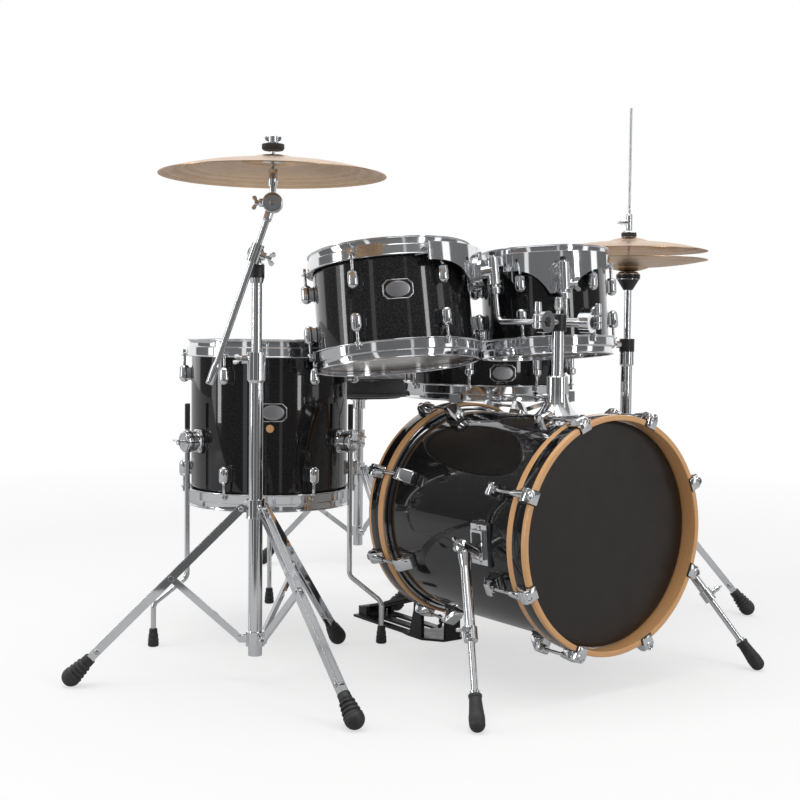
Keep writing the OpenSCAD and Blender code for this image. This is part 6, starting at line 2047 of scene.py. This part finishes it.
@dataclass
class Studio:
    """Camera, pale floor, soft lamps, and the room that bright metal reflects."""

    lens: float = 57.735
    place: Point = (-1.6003, -2.3241, 0.6430)
    right: Point = (0.81363679, -0.5812886, 0.00993725)
    up: Point = (0.01920699, 0.04395979, 0.99884865)
    ahead: Point = (0.58105617, 0.81250914, -0.04693211)
    sky: float = 0.5
    near: float = 1.4
    wide: float = 20.0
    floor_drop: float = 0.0005

    def build(self) -> None:
        """Builds the studio."""
        bpy.context.scene.view_settings.view_transform = "Standard"
        self.camera()
        self.floor()
        self.world()
        self.lamps()

    def camera(self) -> None:
        """Sets the camera."""
        data = bpy.data.cameras.new("Camera")
        data.lens, data.sensor_width, data.shift_y = self.lens, 36.0, -0.0104
        data.clip_start, data.clip_end = 0.05, 60.0
        camera = bpy.data.objects.new("Camera", data)
        axes = Matrix((self.right, self.up, tuple(-c for c in self.ahead))).transposed()
        camera.matrix_world = Matrix.Translation(self.place) @ axes.to_4x4()
        bpy.context.scene.collection.objects.link(camera)
        bpy.context.scene.camera = camera

    def floor(self) -> None:
        """Lays the floor just under the feet."""
        along, across = Vector(self.ahead).normalized(), Vector(self.right).normalized()
        bm = bmesh.new()
        w = self.wide
        corners = [along * a + across * b for a, b in ((-self.near, -w), (-self.near, w), (w, w), (w, -w))]
        bm.faces.new([bm.verts.new((c.x, c.y, -self.floor_drop)) for c in corners])
        mesh = bpy.data.meshes.new("Floor")
        bm.to_mesh(mesh)
        bm.free()
        mesh.materials.append(Stage("Pale studio floor").material())
        made = bpy.data.objects.new("Floor", mesh)
        bpy.context.scene.collection.objects.link(made)

    def world(self) -> None:
        world = bpy.data.worlds.new("Studio air")
        world.use_nodes = True
        tree = world.node_tree
        tree.nodes.clear()
        path = put(tree, "LightPath").outputs
        bright = plus(tree, path["Is Glossy Ray"], path["Is Transmission Ray"])
        seen = plus(tree, path["Is Camera Ray"], times(tree, bright, self.room(tree)))
        plain = times(tree, self.sky, path["Is Diffuse Ray"])
        sky = put(tree, "Background", {0: (*WHITE, 1), 1: plus(tree, seen, plain)})
        put(tree, "OutputWorld", {0: sky.outputs[0]})
        bpy.context.scene.world = world

    def room(self, tree: Tree) -> Socket:
        """Returns the walls' brightness by direction: a white backdrop, dark walls and tall soft boxes.

        Args:
            tree: Node tree of the world.

        Returns:
            The brightness.
        """
        parts = put(tree, "SeparateXYZ", {0: put(tree, "TexCoord").outputs["Generated"]}).outputs
        ahead, high = math.degrees(math.atan2(self.ahead[1], self.ahead[0])), parts[2]
        angle = times(tree, maths(tree, "ARCTAN2", parts[1], parts[0]), 180 / math.pi)

        def box(heading: float, half: float, soft: float, level: float) -> Socket:
            """Returns the brightness of an upright panel round a heading."""
            off = maths(tree, "SUBTRACT", angle, ahead + heading)
            off = put(tree, "Math", {0: off, 1: 180.0, 2: -180.0}, operation="WRAP").outputs[0]
            return span(tree, maths(tree, "ABSOLUTE", off), half, half + soft, level, 0.0)

        walls = maths(tree, "MAXIMUM", box(0, 62, 3, 1.0), span(tree, high, -0.3, 0.8, 0.10, 0.26))
        for heading, half, level in ((97, 4.0, 1.5), (-104, 5.0, 1.3), (150, 2.5, 0.9), (-158, 1.6, 0.6)):
            strip = times(tree, box(heading, half, 1.2, level), span(tree, high, 0.75, 0.85, 1.0, 0.0))
            walls = maths(tree, "MAXIMUM", walls, strip)
        return maths(tree, "MAXIMUM", walls, span(tree, high, 0.70, 0.9, 0.0, 0.8))

    def lamps(self) -> None:
        """Hangs soft boxes above, and narrow strips at the sides."""
        for name, spot, aim_at, size, watts in (
                ("Overhead_box", (-0.6, -0.4, 3.4), (0, 0, 0.3), (2.4, 2.4), 38.0),
                ("Left_strip", (-3.2, 0.9, 1.3), (0, 0, 0.5), (0.35, 2.2), 16.0),
                ("Front_strip", (0.6, -3.6, 1.4), (0, 0, 0.5), (0.35, 2.2), 16.0)):
            data = bpy.data.lights.new(name, "AREA")
            data.shape, data.size, data.size_y, data.energy = "RECTANGLE", size[0], size[1], watts
            lamp = bpy.data.objects.new(name, data)
            facing = (Vector(spot) - Vector(aim_at)).to_track_quat("Z", "Y")
            lamp.matrix_world = Matrix.Translation(spot) @ facing.to_matrix().to_4x4()
            bpy.context.scene.collection.objects.link(lamp)


def dress(finish: Finish, nodes: Sequence[str]) -> None:
    """Gives solids that stay in view their finish.

    Args:
        finish: The finish.
        nodes: Names of the solids.
    """
    for name in nodes:
        for slot in frame["nodes"][name].material_slots:
            slot.material = finish.material()
        log.info("%s keeps its solid, in %s", name, finish.name.lower())


def main() -> None:
    Studio().build()
    parts = kit()
    for part in parts:
        log.info("Building %s", type(part).__name__)
        part.build()
    coated = ("pedal_frame", "pedal_footboard", "hihat_footboard")
    dress(BLACK_COAT, coated)
    dress(CAST_CHROME, [n for n in frame["nodes"] if n not in STOOD_FOR and n not in coated])


if __name__ == "__main__":
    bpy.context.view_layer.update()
    main()
